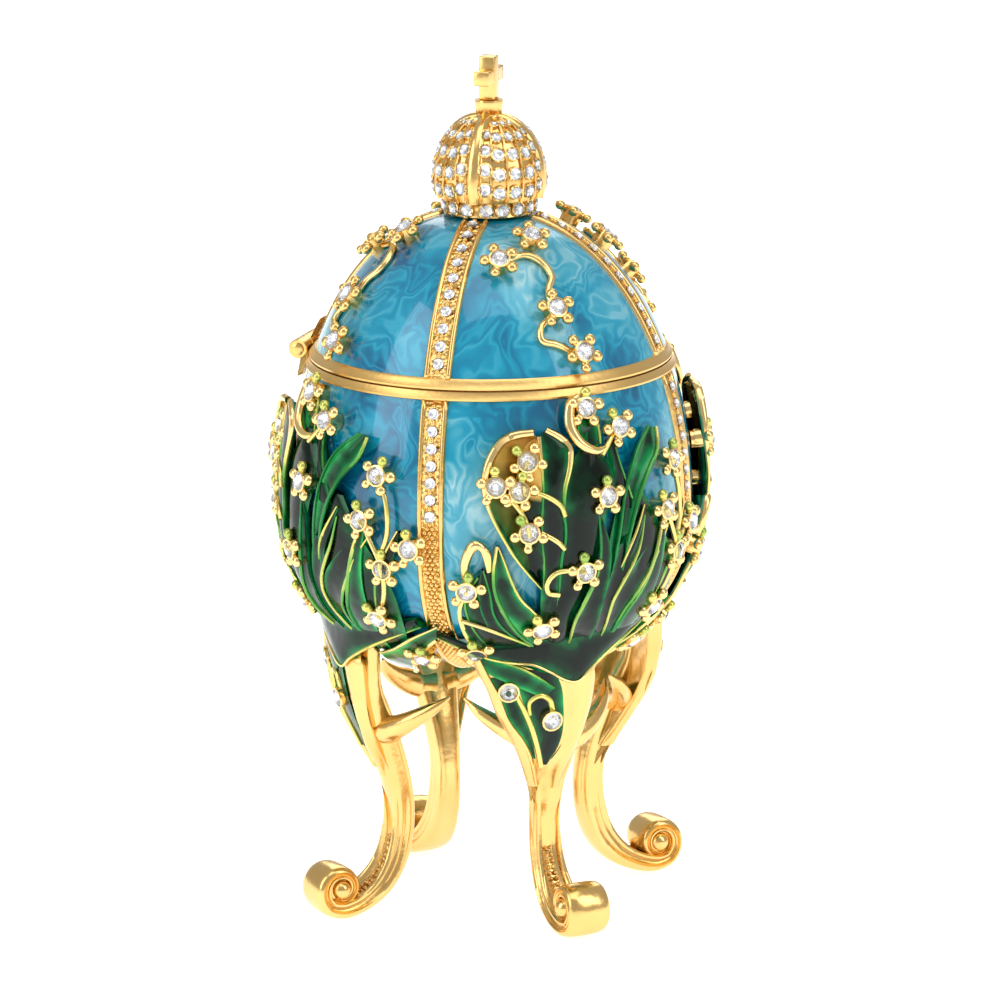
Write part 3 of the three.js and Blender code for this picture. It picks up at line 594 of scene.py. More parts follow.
RIB_SECTION = [(-2.15, -0.3), (-2.1, 0.1), (-1.95, 0.46), (-1.7, 0.56), (-1.42, 0.42), (-1.3, 0.2),
               (0, 0.24), (1.3, 0.2), (1.42, 0.42), (1.7, 0.56), (1.95, 0.46), (2.1, 0.1), (2.15, -0.3)]
RIB_CHANNEL_HALF = 1.3


def rib_strip(bm, turn, heights):
    """A strip along a meridian through a list of heights, its underside sunk in the enamel"""

    def place(u, v):
        side, lift = RIB_SECTION[round(u * (len(RIB_SECTION) - 1))]
        height = eased(heights, v)
        normal = egg_normal(height)
        radius = egg_radius(height) + normal.x * lift
        return around(turn, math.sqrt(max(0.0, radius**2 - side**2)), height + normal.y * lift, side)

    made = bmesh.ops.create_grid(bm, x_segments=len(RIB_SECTION) - 1, y_segments=40, size=0.5)
    verts = made["verts"]
    for vert in verts:
        vert.co = place(vert.co.x + 0.5, vert.co.y + 0.5)
    faces = list({face for vert in verts for face in vert.link_faces})
    for face in faces:
        turned = Matrix.Rotation(math.radians(-turn), 4, "Z") @ face.calc_center_median()
        face.material_index = 1 if abs(turned.x) < RIB_CHANNEL_HALF else 0
    bmesh.ops.recalc_face_normals(bm, faces=faces)
    outward = around(turn, 1, 0)
    if sum(face.normal.dot(outward) for face in faces) < 0:
        bmesh.ops.reverse_faces(bm, faces=faces)


def ribs():
    below_band = SEAM_HEIGHT - SEAM_GAP - BAND_HEIGHT
    above_band = SEAM_HEIGHT + SEAM_GAP + BAND_HEIGHT
    low = [below_band, 76, 68, 60, 52, 46, 42, 39.5, 38.3]
    high = [above_band, 90, 95, 100, 103.5, 105.6, 106.2]
    for name, body, heights in (("bowl_ribs", "base", low), ("lid_ribs", "lid", high)):
        bm = bmesh.new()
        for quarter in range(4):
            rib_strip(bm, quarter * QUARTER, heights)
        obj = piece(name, bm, body, [GOLD, PEBBLED], sharp=60)
        thicken = obj.modifiers.new("back", "SOLIDIFY")
        thicken.thickness = 0.0003
        thicken.offset = -1


RIB_STONE_RADIUS = 0.84


def rib_stones():
    for name, body, heights in (
        ("bowl_rib_stones", "base", [81.2, 78.7, 76.2, 73.7, 71.2, 68.7, 66.2]),
        ("lid_rib_stones", "lid", [88.2, 90.6, 93.0, 95.3, 97.5, 99.6, 101.5, 103.2, 104.7, 105.8]),
    ):
        places = [
            (standing(quarter * QUARTER, height, 0.42, 40 * i), RIB_STONE_RADIUS)
            for quarter in range(4)
            for i, height in enumerate(heights)
        ]
        stones(name, body, places, shape=SHALLOW_STONE)
        bm = bmesh.new()
        for matrix, radius in places:
            for side in (-1, 1):
                bead = matrix.copy()
                normal = matrix.to_3x3() @ Vector((0, 0, 1))
                down = around(0, 0, 1) - normal * normal.z
                bead.translation = matrix.translation + down.normalized() * side * 1.15 - normal * 0.15
                bmesh.ops.create_icosphere(bm, subdivisions=1, radius=0.42, matrix=bead)
        piece(name.replace("stones", "beads"), bm, body, [GOLD], sharp=80)


def rib_pebbles():
    bm = bmesh.new()
    height = 64.4
    row = 0
    while height > 39.6:
        normal = egg_normal(height)
        for quarter in range(4):
            for side in ((-0.78, 0, 0.78) if row % 2 else (-0.4, 0.4)):
                radius = egg_radius(height) + normal.x * 0.22
                centre = around(quarter * QUARTER, radius, height + normal.y * 0.22, side)
                bmesh.ops.create_icosphere(bm, subdivisions=2, radius=0.4,
                                           matrix=Matrix.Translation(centre))
        height -= 0.66 * max(0.3, normal.x)
        row += 1
    piece("bowl_rib_pebbles", bm, "base", [GOLD], sharp=80)


bowl_shells()
lid_shells()
ribs()
rib_stones()
rib_pebbles()

# The crown

CROWN_RING_TOP = 109.14
CROWN_DOME_TOP = 121.34
CROWN_RADIUS = 8.25
CROWN_BELLY = 111.8
LOWEST_SINE = 0.342
COLLAR_HEIGHT = 2.3

# Width, depth, height and middle height of the cross's post and arms
CROSS_BARS = [(2.4, 2.5, 6.6, 3.3), (7.8, 2.4, 2.2, 3.6)]

# The columns of stones in a quarter of the dome: degrees from the broad bar and shares of the way up
SHORT_COLUMN = (0.16, 0.33, 0.5, 0.66)
LONG_COLUMN = (0.12, 0.29, 0.46, 0.63, 0.79)
CROWN_COLUMNS = [(13, SHORT_COLUMN), (27.7, LONG_COLUMN), (45, LONG_COLUMN), (62.3, LONG_COLUMN),
                 (77, SHORT_COLUMN)]


def dome_point(share):
    """Radius and height of the crown's dome, at a share of the way from its ring to its top"""
    angle = math.radians(-20 + 105 * share)
    upper, lower = CROWN_DOME_TOP - CROWN_BELLY, (CROWN_BELLY - CROWN_RING_TOP) / LOWEST_SINE
    height = CROWN_BELLY + (upper if angle > 0 else lower) * math.sin(angle)
    return CROWN_RADIUS * max(0.0, math.cos(angle)) ** 0.92, height


def dome_place(turn, share, lift, spin=0.0):
    radius, height = dome_point(share)
    ahead = dome_point(share + 0.01)
    behind = dome_point(share - 0.01)
    along = Vector((ahead[0] - behind[0], ahead[1] - behind[1])).normalized()
    normal = Vector((along.y, -along.x))
    return facing(turn, normal, around(turn, radius + normal.x * lift, height + normal.y * lift), spin)


def dome_bar(bm, turns, shares, half, thick, sides=8):
    """A bar on the dome through azimuths and shares of the way up, rounded on top"""

    def place(u, v):
        behind, matrix, ahead = (
            dome_place(eased(turns, t), eased(shares, t), 0) for t in (max(0, v - 0.02), v, min(1, v + 0.02))
        )
        along = (ahead.translation - behind.translation).normalized()
        normal = (matrix.to_3x3() @ Vector((0, 0, 1))).normalized()
        side = along.cross(normal).normalized()
        angle = 2 * math.pi * u
        return matrix.translation + side * half * math.cos(angle) + normal * thick * math.sin(angle)

    swept(bm, sides, 22, place)


def crown():
    bm = bmesh.new()
    low, high = CROWN_BOTTOM, CROWN_RING_TOP
    ring = [(0, low), (6.7, low), (7.0, low + 0.25), (6.75, low + 0.6), (6.6, low + 1.3), (6.7, high - 0.5),
            (7.1, high - 0.2), (7.2, high)]
    dome = [dome_point(i / 28) for i in range(28)]
    foot = CROWN_DOME_TOP
    top = foot + COLLAR_HEIGHT
    collar = [(1.9, foot - 0.1), (1.85, foot + 0.25), (2.05, foot + 0.5), (2.1, foot + 1.6),
              (2.2, foot + 1.9), (2.1, top), (0, top)]
    spun(bm, [*ring, *[p for p in dome if p[0] > 2.0], *collar], 96)
    for quarter in range(4):
        turn = quarter * QUARTER
        for side in (-1, 1):
            turns = [turn + side * out for out in (8.5, 8.5, 9, 16)]
            dome_bar(bm, turns, [0.0, 0.3, 0.65, 0.95], 0.26, 0.34)
        dome_bar(bm, [turn] * 4, [0.0, 0.3, 0.65, 0.97], 1.0, 0.56, 12)
        for step in (19, 36.5, 53.5, 71):
            reach = 0.8 if step in (19, 71) else 0.87
            lean = (45 - step) * 0.12
            dome_bar(bm, [turn + step, turn + step, turn + step + lean], [0.0, 0.45, reach], 0.28, 0.46, 6)
    for width, depth, height, middle in CROSS_BARS:
        made = bmesh.ops.create_cube(bm, size=1)
        bmesh.ops.scale(bm, vec=(width, depth, height), verts=made["verts"])
        bmesh.ops.translate(bm, vec=(0, 0, top + middle), verts=made["verts"])
        edges = list({edge for vert in made["verts"] for edge in vert.link_edges})
        bmesh.ops.bevel(bm, geom=edges, offset=0.22, segments=2, profile=0.5, affect="EDGES", material=-1)
    piece("crown_metal", bm, "lid", [GOLD], ["crown"], sharp=50)

    places = []
    for quarter in range(4):
        turn = quarter * QUARTER
        for step, shares in CROWN_COLUMNS:
            for share in shares:
                radius = dome_point(share)[0]
                size = min(0.96, 0.125 * radius)
                places.append((dome_place(turn + step, share, 0.3, 30 * share), size))
        for step in (13, 34, 56, 77):
            middle = around(turn + step, 6.95, CROWN_BOTTOM + 1.3)
            places.append((facing(turn + step, Vector((1, 0)), middle), 1.0))
    stones("crown_stones", "lid", places, shape=SHALLOW_STONE)
    bm = bmesh.new()
    for matrix, radius in places:
        collet(bm, matrix, radius, 0.5, 0.22)
    piece("crown_collets", bm, "lid", [PEBBLED], sharp=50)


crown()

# Leaf sprays. A leaf lies between a left and a right edge, each through degrees from the leg and height.


def leaf(body, rim, layers, ground, left, right, lifts, bulge=0.4, depth=1.2, glow=0.0, gilt=0.0, rims=(),
         steps=20):
    """One leaf on a ground that turns a place and a lift into a point. rims lists the edges that carry a
    ridge, as side, radii and green shares."""
    edge_layer, gilt_layer, green_layer = layers
    edges = [[Vector(p) for p in left], [Vector(p) for p in right]]

    def at(t, s, lift):
        first, second = eased(edges[0], t), eased(edges[1], t)
        here = first.lerp(second, (s + 1) / 2)
        return ground(here.x, here.y, lift)

    def place(u, v):
        top = u <= 0.5
        s = -1 + 4 * u if top else 3 - 4 * u
        lift = eased(lifts, v)
        if top:
            return at(v, s, lift + bulge * (1 - s * s))
        return at(v, s * 0.98, lift - depth * (1 - 0.6 * s * s) - 0.02)

    def mark(vert, u, v):
        s = -1 + 4 * u if u <= 0.5 else 3 - 4 * u
        vert[edge_layer] = abs(s) ** 2 * 0.75 + glow
        vert[gilt_layer] = gilt(v) if callable(gilt) else gilt

    swept(body, 20, steps, place, mark)

    for side, radii, greens in rims:
        def green_mark(vert, u, v, greens=greens):
            vert[green_layer] = eased(greens, v)

        line = [at(t / 12, side, eased(lifts, t / 12) + 0.05) for t in range(13)]
        wire(rim, line, radii, 6, green_mark)


HEART_FOLD = [(-13.7, 56.2), (-14, 59.8), (-14.6, 63.2), (-14.5, 66.9), (-14.1, 70.3), (-14.2, 73.3),
              (-14.4, 75.8), (-14.6, 78)]
HEART_RIDGE = [(-9.4, 53.4), (-9.4, 59.9), (-8.3, 63.5), (-8.7, 67.1), (-8.3, 70.4), (-6.5, 74),
               (-6.9, 76.8), (-12.6, 78.9)]
THIN = [0.16, 0.24, 0.24, 0.14]
LEAVES = [
    # Dark glossy ground between the blades
    dict(left=[(-12, 44.6), (-13.5, 51.1), (-14.1, 54.8), (-13.8, 58.3)],
         right=[(1.7, 44.6), (-2.4, 51.2), (-5.3, 55.6), (-8, 59.7)], lifts=[1.3, 1.5, 1.6, 1.4], bulge=0.3),
    dict(left=[(6, 43.6), (3.5, 50), (3.5, 55), (4.9, 60), (7.2, 65), (9.5, 68.5)],
         right=[(30, 43.6), (34, 49), (34, 54.5), (29.5, 59), (24.5, 62.5), (18, 68)],
         lifts=[1.2, 1.5, 1.5, 1.4, 1.4, 1.3], bulge=0.4),
    dict(left=[(-10.2, 43.9), (-25, 45.6), (-32.5, 49), (-35.2, 53.9), (-31.4, 57.8)],
         right=[(-7, 44.8), (-16.8, 49), (-21.1, 52), (-24.8, 55.6), (-27, 59)],
         lifts=[1.4, 1.6, 1.6, 1.5, 1.4], bulge=0.4, rims=[(-1, [0.16, 0.24, 0.2], [0.9, 1, 0.8])]),
    dict(left=[(-10.5, 46), (-12.6, 51.7), (-12, 55.4), (-9.6, 59.8), (-8.5, 63.6), (-8.7, 67.9),
               (-7.6, 72.3), (-1.6, 76.2)],
         right=[(-0.5, 45.4), (-2.5, 50.6), (-0.6, 54.2), (1.1, 58.1), (2.6, 62.1), (4.6, 66.1), (8.4, 71.1),
                (2.4, 76.4)],
         lifts=[1.4, 1.5, 1.6, 1.6, 1.7, 1.7, 1.6, 1.2], bulge=0.85),
    dict(left=[(6.6, 67), (7.4, 70.4), (7.2, 73.6), (6.2, 76.4)],
         right=[(14.5, 66), (11.5, 70), (9.4, 73.4), (8.4, 76.6)],
         lifts=[1.5, 1.7, 1.7, 1.5], bulge=0.5, rims=[(1, [0.2, 0.2], [1, 1])]),
    # The heart-shaped leaf: a left half that opens into a gilt hollow, and a dark right lobe
    dict(left=[(-14.3, 56.1), (-20.5, 60), (-25.4, 64.5), (-28.5, 68.5), (-29.3, 71.9), (-27.7, 75.2),
               (-23.5, 78), (-16.2, 78.6)],
         right=HEART_FOLD, lifts=[1.9, 2.3, 2.5, 2.5, 2.5, 2.6, 2.6, 2.4], bulge=-0.9,
         gilt=lambda v: 1.0 if v > 0.52 else 0.0, steps=28,
         rims=[(-1, [0.16, 0.24, 0.3, 0.5, 0.7, 0.72, 0.6], [0.75, 0.55, 0.4, 0.1, -0.3, -0.5, -0.5])]),
    dict(left=HEART_FOLD, right=HEART_RIDGE, lifts=[2, 2.4, 2.5, 2.6, 2.6, 2.6, 2.6, 2.5], bulge=0.3,
         glow=0.06, rims=[(1, [0.2, 0.3, 0.34, 0.36, 0.45, 0.6, 0.5], [1.2, 1.2, 1.1, 0.9, 0.3, -0.2, -0.5]),
               (-1, [0.14, 0.18, 0.2, 0.25, 0.4], [1.1, 1.1, 1, 0.6, -0.3])]),
    # The green leaf inside the scroll and the long folded strap
    dict(left=[(1.8, 75.2), (-2, 77), (-2.6, 79.3), (-1.6, 81.2)],
         right=[(3.9, 76.2), (3.8, 78.2), (3.1, 80.1), (1.3, 81.4)],
         lifts=[1.6, 1.7, 1.6, 1.4], bulge=-0.2, glow=0.35, rims=[(1, [0.2, 0.25, 0.2], [0.7, 0.6, 0.3])]),
    dict(left=[(6.6, 58.5), (8.1, 63.5), (9.6, 68), (12.6, 71.9), (16.4, 74.8), (22.6, 77.4)],
         right=[(9.6, 57.5), (11.2, 62.6), (14.2, 67.2), (18.6, 71), (23.8, 74), (25.6, 77)],
         lifts=[1.9, 2.2, 2.2, 2.1, 1.9, 1.5], bulge=-0.5, glow=0.45,
         rims=[(-1, [0.2, 0.25, 0.25, 0.2], [1.3, 1.3, 1.2, 1.1]),
               (1, [0.22, 0.34, 0.36, 0.3], [1.2, 1.1, 1, 0.5])]),
    # Blades, from the middle to the right
    dict(left=[(-1.3, 45.4), (-3.5, 50.6), (-1.6, 54.2), (0.9, 57.8), (1.8, 61.9), (1.5, 66.4)],
         right=[(6.9, 44.6), (4.5, 50), (4.3, 53.7), (4.9, 57.5), (4.8, 61.4), (1.9, 66.6)],
         lifts=[1.9, 2.6, 2.7, 2.6, 2.4, 2.1], bulge=-0.3, glow=0.05,
         rims=[(-1, [0.2, 0.3, 0.32, 0.26, 0.16], [0.6, 0.75, 0.95, 1.1, 1.2])]),
    dict(left=[(6.9, 44.6), (4.5, 50), (4.3, 53.7), (5.6, 57.2), (8.4, 61.4), (16.6, 65.2)],
         right=[(11.6, 44.6), (7.8, 52), (9.4, 55.5), (12.2, 58), (15, 60.8), (17, 64.9)],
         lifts=[1.8, 2.3, 2.4, 2.3, 2.1, 1.9], bulge=-0.2,
         rims=[(1, [0.18, 0.28, 0.3, 0.26, 0.16], [0.7, 0.6, 0.5, 0.6, 0.8])]),
    dict(left=[(9, 58), (10.8, 60.5), (13.4, 63), (17, 66.4)],
         right=[(10.6, 57.8), (12.6, 60), (15, 62.6), (17.3, 66.2)],
         lifts=[2, 2.3, 2.3, 1.9], bulge=0.1, rims=[(-1, THIN, [0.7, 0.5, 0.4, 0.4])]),
    dict(left=[(10.9, 44.6), (8.2, 52), (10, 55.5), (13.4, 57.7), (18.2, 60), (27.4, 63.2)],
         right=[(15, 44.6), (13.5, 50.5), (16.5, 53.8), (20, 56.6), (23.1, 59.3), (27.8, 62.8)],
         lifts=[1.7, 2.1, 2.2, 2, 1.8, 1.6], bulge=-0.2, glow=0.1,
         rims=[(1, [0.16, 0.26, 0.28, 0.24, 0.16], [1, 0.9, 0.7, 0.5, 0.5])]),
    dict(left=[(15, 44.3), (15, 50), (18.5, 54.3), (21.5, 58.7), (23.6, 62), (26, 64.9)],
         right=[(22, 44.4), (24.1, 50.2), (24.6, 54.7), (25.3, 58.8), (26, 62), (26.4, 64.7)],
         lifts=[1.7, 2, 2.1, 2, 1.8, 1.6], bulge=0.1, glow=0.28,
         rims=[(-1, [0.2, 0.28, 0.3, 0.3, 0.26], [1.1, 1, 0.8, 0.5, 0.2])]),
    dict(left=[(24, 44.5), (27.1, 52.5), (29.5, 57.2), (32.4, 60.2), (36.4, 64)],
         right=[(30, 44.8), (31.5, 53), (33.5, 57.5), (35.4, 60.2), (37, 63.6)],
         lifts=[1.4, 1.6, 1.7, 1.6, 1.4], bulge=0.2,
         rims=[(-1, [0.16, 0.24, 0.24, 0.18], [0.9, 0.8, 0.5, 0.2])]),
    # Small leaves on the left
    dict(left=[(-8, 44.6), (-17.8, 48.4), (-22.6, 51.2), (-26.4, 55.1), (-27.2, 58.6), (-26.3, 62.4)],
         right=[(-5.6, 46.2), (-14.9, 52.1), (-19.8, 54.8), (-22.6, 57.6), (-24.2, 60), (-25.9, 62.3)],
         lifts=[1.8, 2.2, 2.3, 2.2, 2, 1.7], bulge=-0.3, glow=0.42,
         rims=[(-1, [0.2, 0.3, 0.34, 0.34, 0.3], [1, 1.1, 1, 0.9, 0.1]), (1, THIN, [0.6, 0.5, 0.7, 0.3])]),
    dict(left=[(-12, 44.8), (-25.5, 48.2), (-30, 51.6), (-31.4, 55.2), (-30.4, 59)],
         right=[(-9, 44.9), (-21.5, 48.8), (-26.8, 52), (-28.2, 55.6), (-29.9, 58.9)],
         lifts=[1.7, 1.9, 2, 1.9, 1.7], bulge=0.1, glow=0.1, rims=[(1, THIN, [1.1, 1.2, 1.2, 1])]),
    # Leaves that lie level round the foot of the bowl
    dict(left=[(-6.5, 43.6), (-17.8, 44.2), (-26.4, 45.2), (-33.4, 47.6), (-37.2, 51)],
         right=[(-8.4, 45.2), (-17.4, 47.6), (-24, 49.1), (-30.4, 50.4), (-36.4, 51.3)],
         lifts=[1.9, 2.1, 2.1, 2, 1.8], bulge=-0.3, glow=0.2,
         rims=[(1, [0.2, 0.26, 0.36, 0.4], [0.9, 0.7, 0.1, -0.4])]),
    dict(left=[(8, 39.8), (20, 40.8), (33, 44.2), (44, 47.6)],
         right=[(14, 44), (26, 45.6), (37, 48), (45.4, 49.8)],
         lifts=[2.3, 2.2, 1.9, 1.6], bulge=0.1, glow=0.45,
         rims=[(-1, [0.3, 0.36, 0.3], [0.2, -0.2, -0.2]), (1, THIN, [0.5, 0.3, 0])]),
]

# Flowers on the bowl: degrees from the leg, height, lift and spin
FLOWERS = [
    (0, 81.4, 2.6, 10), (10, 78.2, 2.7, 40), (-18, 74.6, 2.9, 60), (-26.5, 71.2, 3.4, 20),
    (-20.4, 70.4, 3, 5), (-18, 64.4, 3, 50), (3.4, 68.8, 3.4, 15), (30.4, 71.8, 2.3, 0),
    (25.4, 65, 2.5, 35), (-3, 58.4, 3.4, 25), (-13, 50.2, 3, 45), (-34.5, 55.9, 2.3, 10),
    (-33, 46.2, 2.8, 30), (32, 58.3, 2.3, 20), (27, 50.8, 2.6, 55), (36, 44.6, 2.7, 5),
    (40, 61.5, 2.2, 30),
]

# Gold stems, each through degrees from the leg, height and lift
STEMS = [
    [(-26.5, 71.2, 1.6), (-23, 69.5, 2.4), (-19, 66.5, 2.4), (-17.5, 62.5, 2.2)],
    [(-18, 74.6, 2.2), (-19.5, 72, 2.6), (-18.5, 68, 2.6)],
    [(-17.3, 70.4, 2.6), (-13.3, 69.6, 2.9), (-9.8, 68.2, 3), (-8.6, 66.6, 3)],
    [(-14.8, 64.4, 2.6), (-10.8, 63, 3), (-8.8, 61.8, 3)],
    [(-3, 58.4, 2.8), (-7.3, 58.8, 3), (-11, 58.6, 2.9), (-13.2, 57.2, 2.8), (-12.6, 55.8, 2.8),
     (-9.6, 55.4, 2.8)],
    [(30.4, 71.8, 1.6), (33, 68, 1.6), (33.5, 63.5, 1.6), (31, 60, 1.6)],
    [(25.4, 65, 2), (28.6, 62, 1.9), (31.5, 58.5, 1.8), (31, 54.5, 1.7), (27, 50.8, 1.9)],
    [(10, 78.2, 1.6), (6.5, 76.4, 2), (3.4, 74.6, 2.3)],
    [(-34.5, 58.8, 1.4), (-33.4, 61.2, 2), (-30.9, 62.5, 2.3), (-28.6, 61.4, 2.2), (-28.3, 59, 1.9)],
    [(-34.5, 55.9, 1.6), (-37, 52.5, 1.4), (-36, 49, 1.6), (-33, 46.2, 2)],
]
SCROLL = [(4.6, 75.6, 2.2), (1, 75.4, 2.5), (-3.2, 76.8, 2.4), (-5.2, 79.2, 2), (-4.4, 82, 1.9),
          (-1.6, 83, 2.2)]
HOOK = [(-35, 57.6, 1.3), (-34.6, 60.2, 1.8), (-32.4, 62.6, 2.2), (-29.8, 62, 2.2), (-28.4, 58.8, 1.8)]

# Heights and radii of the front of a leg's top
LEG_FRONT = [(52, 27.8), (48, 26.5), (46, 25.4), (44, 25.1), (42, 25), (40, 24.9), (37.2, 24.6),
             (34.2, 24.1), (31, 23.2), (27.7, 21.8), (25, 20.7), (22.6, 19.6), (19, 18.7), (10, 18.6)]

# The leaves on a leg's top, through sideways millimetres and height
LEG_LEAVES = [
    # The dark leaf draped over the joint of the leg and the bowl
    dict(left=[(-18.5, 46.6), (-13.8, 44.2), (-10.5, 43.2), (-6.4, 42.6), (-2.7, 40.7), (0.2, 39.3),
               (2.9, 41.1), (7.1, 43.6), (12, 46), (17, 48.4)],
         right=[(-18.5, 47.6), (-13.5, 45.6), (-10.1, 46.2), (-6.5, 46.4), (-1.9, 46.6), (1.5, 46.8),
                (3.6, 46.9), (7, 47.4), (11.8, 48.6), (17, 50)],
         lifts=[0.2, 0.5, 0.8, 1, 1, 0.7, 0.3], bulge=0.5, depth=2, steps=36,
         rims=[(-1, [0.14, 0.22, 0.26, 0.26, 0.26, 0.16], [0.8, 0.5, 0.1, 0.1, 0.5, 0.9])]),
    # The bright tip, then the narrow and the wide pool
    dict(left=[(-13.6, 43.1), (-12.3, 41.3), (-10.4, 40.2), (-7.5, 38.7), (-4.4, 37.2)],
         right=[(-13.6, 44.2), (-10.7, 43.2), (-7.9, 42), (-5.5, 40.6), (-2.7, 38.6)],
         lifts=[0.3, 0.45, 0.45, 0.35], bulge=0.15, depth=0.8, glow=0.5,
         rims=[(1, [0.16, 0.22, 0.22, 0.16], [0.9, 0.8, 0.8, 1])]),
    dict(left=[(-12, 40.6), (-10.8, 38.2), (-10, 36.2), (-8.9, 33.6), (-6.4, 30.4), (-4.3, 27)],
         right=[(-9.2, 40.6), (-8.6, 38), (-7.6, 36), (-6.4, 33.6), (-5.2, 30.8), (-4, 26.9)],
         lifts=[0.15, 0.22, 0.2, 0.15], bulge=0.05, depth=0.7, glow=0.35),
    dict(left=[(-8, 41.8), (-8, 38.8), (-7, 36), (-5.6, 33), (-4.1, 29), (-2.6, 25.8)],
         right=[(-2.6, 41.2), (-1.4, 38.4), (-0.9, 35), (-0.6, 31.8), (-0.8, 28.7), (-2, 25.7)],
         lifts=[0.15, 0.25, 0.25, 0.15], bulge=0.05, depth=0.7, glow=0.08),
]
LEG_STEMS = [[(-8.8, 38.6), (-8.2, 37.4), (-7, 35.1), (-5.8, 32.6), (-4.3, 29.1), (-3, 25.6)],
             [(-6.2, 34.6), (-6.4, 36.6), (-4.9, 37.6), (-3.4, 36.8), (-2.8, 35.2), (-2.4, 34.2)]]

# The two collets on a leg: degrees from the leg, radius, height and tilt
LEG_COLLETS = [(-22.3, 25.5, 38.4, 14), (-7, 25.2, 33.5, 12)]

# The gilt body of the leg's top and the bright flanks on its two sides
LEG_TOP = dict(
    left=[(-13.7, 44), (-13.4, 42.4), (-11.9, 39.6), (-10.6, 37.2), (-9.6, 34.6), (-7.9, 31.2), (-5.9, 28),
          (-4.4, 25), (-3.3, 22), (-2.4, 19)],
    right=[(3.9, 44), (4.2, 42), (4.2, 39), (3.9, 36), (3.5, 33.5), (3.1, 31), (2.7, 28), (2.4, 25),
           (2.2, 22), (2.1, 19)],
    lifts=[0, 0, 0, 0, -0.3, -1.1], bulge=0, depth=2.6, steps=30)
LEG_FLANKS = [
    dict(left=[(-2, 41.6), (-0.9, 38.4), (-0.4, 35), (-0.1, 31.8), (-0.4, 28.7), (-1.7, 25.7), (-1.3, 21.5)],
         right=[(2.9, 42), (4.4, 40.4), (4.4, 37.4), (3.9, 34), (3.3, 30.8), (2.5, 26.6), (1.5, 21.4)],
         lifts=[-0.2, -0.1, -0.1, -0.1, -0.2, -0.8], bulge=0.9, depth=1.6, steps=30),
    dict(left=[(-14.1, 43.4), (-13.2, 41), (-12, 38.4), (-11.2, 36.2), (-10.2, 33.8), (-8.2, 30.6),
               (-6.2, 27.2), (-3.6, 22)],
         right=[(-13.4, 43.8), (-12, 40.8), (-10.7, 38.2), (-9.9, 36.2), (-8.8, 33.7), (-6.3, 30.4),
                (-4.2, 27), (-2.2, 22)],
         lifts=[0.1, 0.1, 0.1, 0.1, 0, -0.7], bulge=0.75, depth=1.6, steps=30),
]


def leg_front(height):
    for (above, first), (below, second) in zip(LEG_FRONT, LEG_FRONT[1:]):
        if height >= below:
            return second + (first - second) * (height - below) / (above - below)
    return LEG_FRONT[-1][1]


def leg_ground(middle):
    """The front of the leg at an azimuth, as a ground for leaves"""

    def ground(side, height, lift):
        radius = leg_front(height) + lift
        return around(middle, math.sqrt(radius**2 - side**2), height, side)

    return ground


def egg_line(middle, line):
    return [on_egg(middle + turn, height, lift) for turn, height, lift in line]


def tinted(layer, tint, fade=0.0):
    """A mark that writes a tint on a layer, less by a fade at the far end"""

    def mark(vert, u, v):
        vert[layer] = tint - fade * v

    return mark


def spray(corner, middle):
    def bowl_ground(turn, height, lift):
        return on_egg(middle + turn, max(EGG_BOTTOM + 0.6, height), lift)

    on_leg = leg_ground(middle)
    body, rim = bmesh.new(), bmesh.new()
    edge_layer = body.verts.layers.float.new("edge")
    gilt_layer = body.verts.layers.float.new("gilt")
    green_layer = rim.verts.layers.float.new("green")
    for each in LEAVES:
        leaf(body, rim, (edge_layer, gilt_layer, green_layer), bowl_ground, **each)
    for each in LEG_LEAVES:
        leaf(body, rim, (edge_layer, gilt_layer, green_layer), on_leg, **each)
    for line in LEG_STEMS:
        points = [on_leg(side, height, 0.35) for side, height in line]
        wire(rim, points, [0.3, 0.45, 0.4], 8, tinted(green_layer, 0.5, 0.2))
    for line in STEMS:
        wire(rim, egg_line(middle, line), [0.34, 0.42, 0.38], 8, tinted(green_layer, 0.25))
    wire(rim, egg_line(middle, SCROLL), [0.4, 0.75, 0.9, 0.85, 0.6], 10, tinted(green_layer, 0.2, 1.0))
    piece(f"leaves_{corner}", body, "base", [GREEN], sharp=50)
    piece(f"leaf_rims_{corner}", rim, "base", [RIM], sharp=60)
    heads = bmesh.new()
    wire(heads, egg_line(middle, HOOK), [0.5, 0.72, 0.78, 0.6, 0.4], 10)
    places = []
    for turn, height, lift, spin in FLOWERS:
        matrix = standing(middle + turn, height, lift, spin)
        stamped(heads, FLOWER, matrix)
        places.append((matrix, STONE_RADIUS))
    for turn, radius, height, tilt in LEG_COLLETS:
        direction = Vector((math.cos(math.radians(tilt)), -math.sin(math.radians(tilt))))
        matrix = facing(middle + turn, direction, around(middle + turn, radius, height))
        collet(heads, matrix, STONE_RADIUS, 1.4)
        places.append((matrix, STONE_RADIUS))
    piece(f"flowers_{corner}", heads, "base", [RIM], sharp=50)
    nodes = [f"spray_stone_{corner}_{i}" for i in range(1, 7)] + [f"leg_stone_{corner}_{i}" for i in (1, 2)]
    stones(f"spray_stones_{corner}", "base", places, nodes)


# Legs: radius, height, width and thickness along the leg's middle line

LEG_STATIONS = [
    (22.3, 44.6, 9.6, 3.0), (22.2, 36.8, 9.0, 3.3), (20.3, 31.1, 7.6, 4.0), (17.9, 24.5, 5.6, 4.1),
    (16.6, 19.5, 4.6, 4.1), (16.2, 15.5, 4.2, 4.1), (16.6, 11.4, 4.4, 4.1), (17.9, 7.6, 4.9, 4.0),
    (20.3, 4.5, 5.8, 3.7), (23.4, 2.6, 6.6, 3.2), (26.6, 1.75, 7.0, 2.9),
]
VOLUTE_CENTRE = Vector((27.5, 5.1))


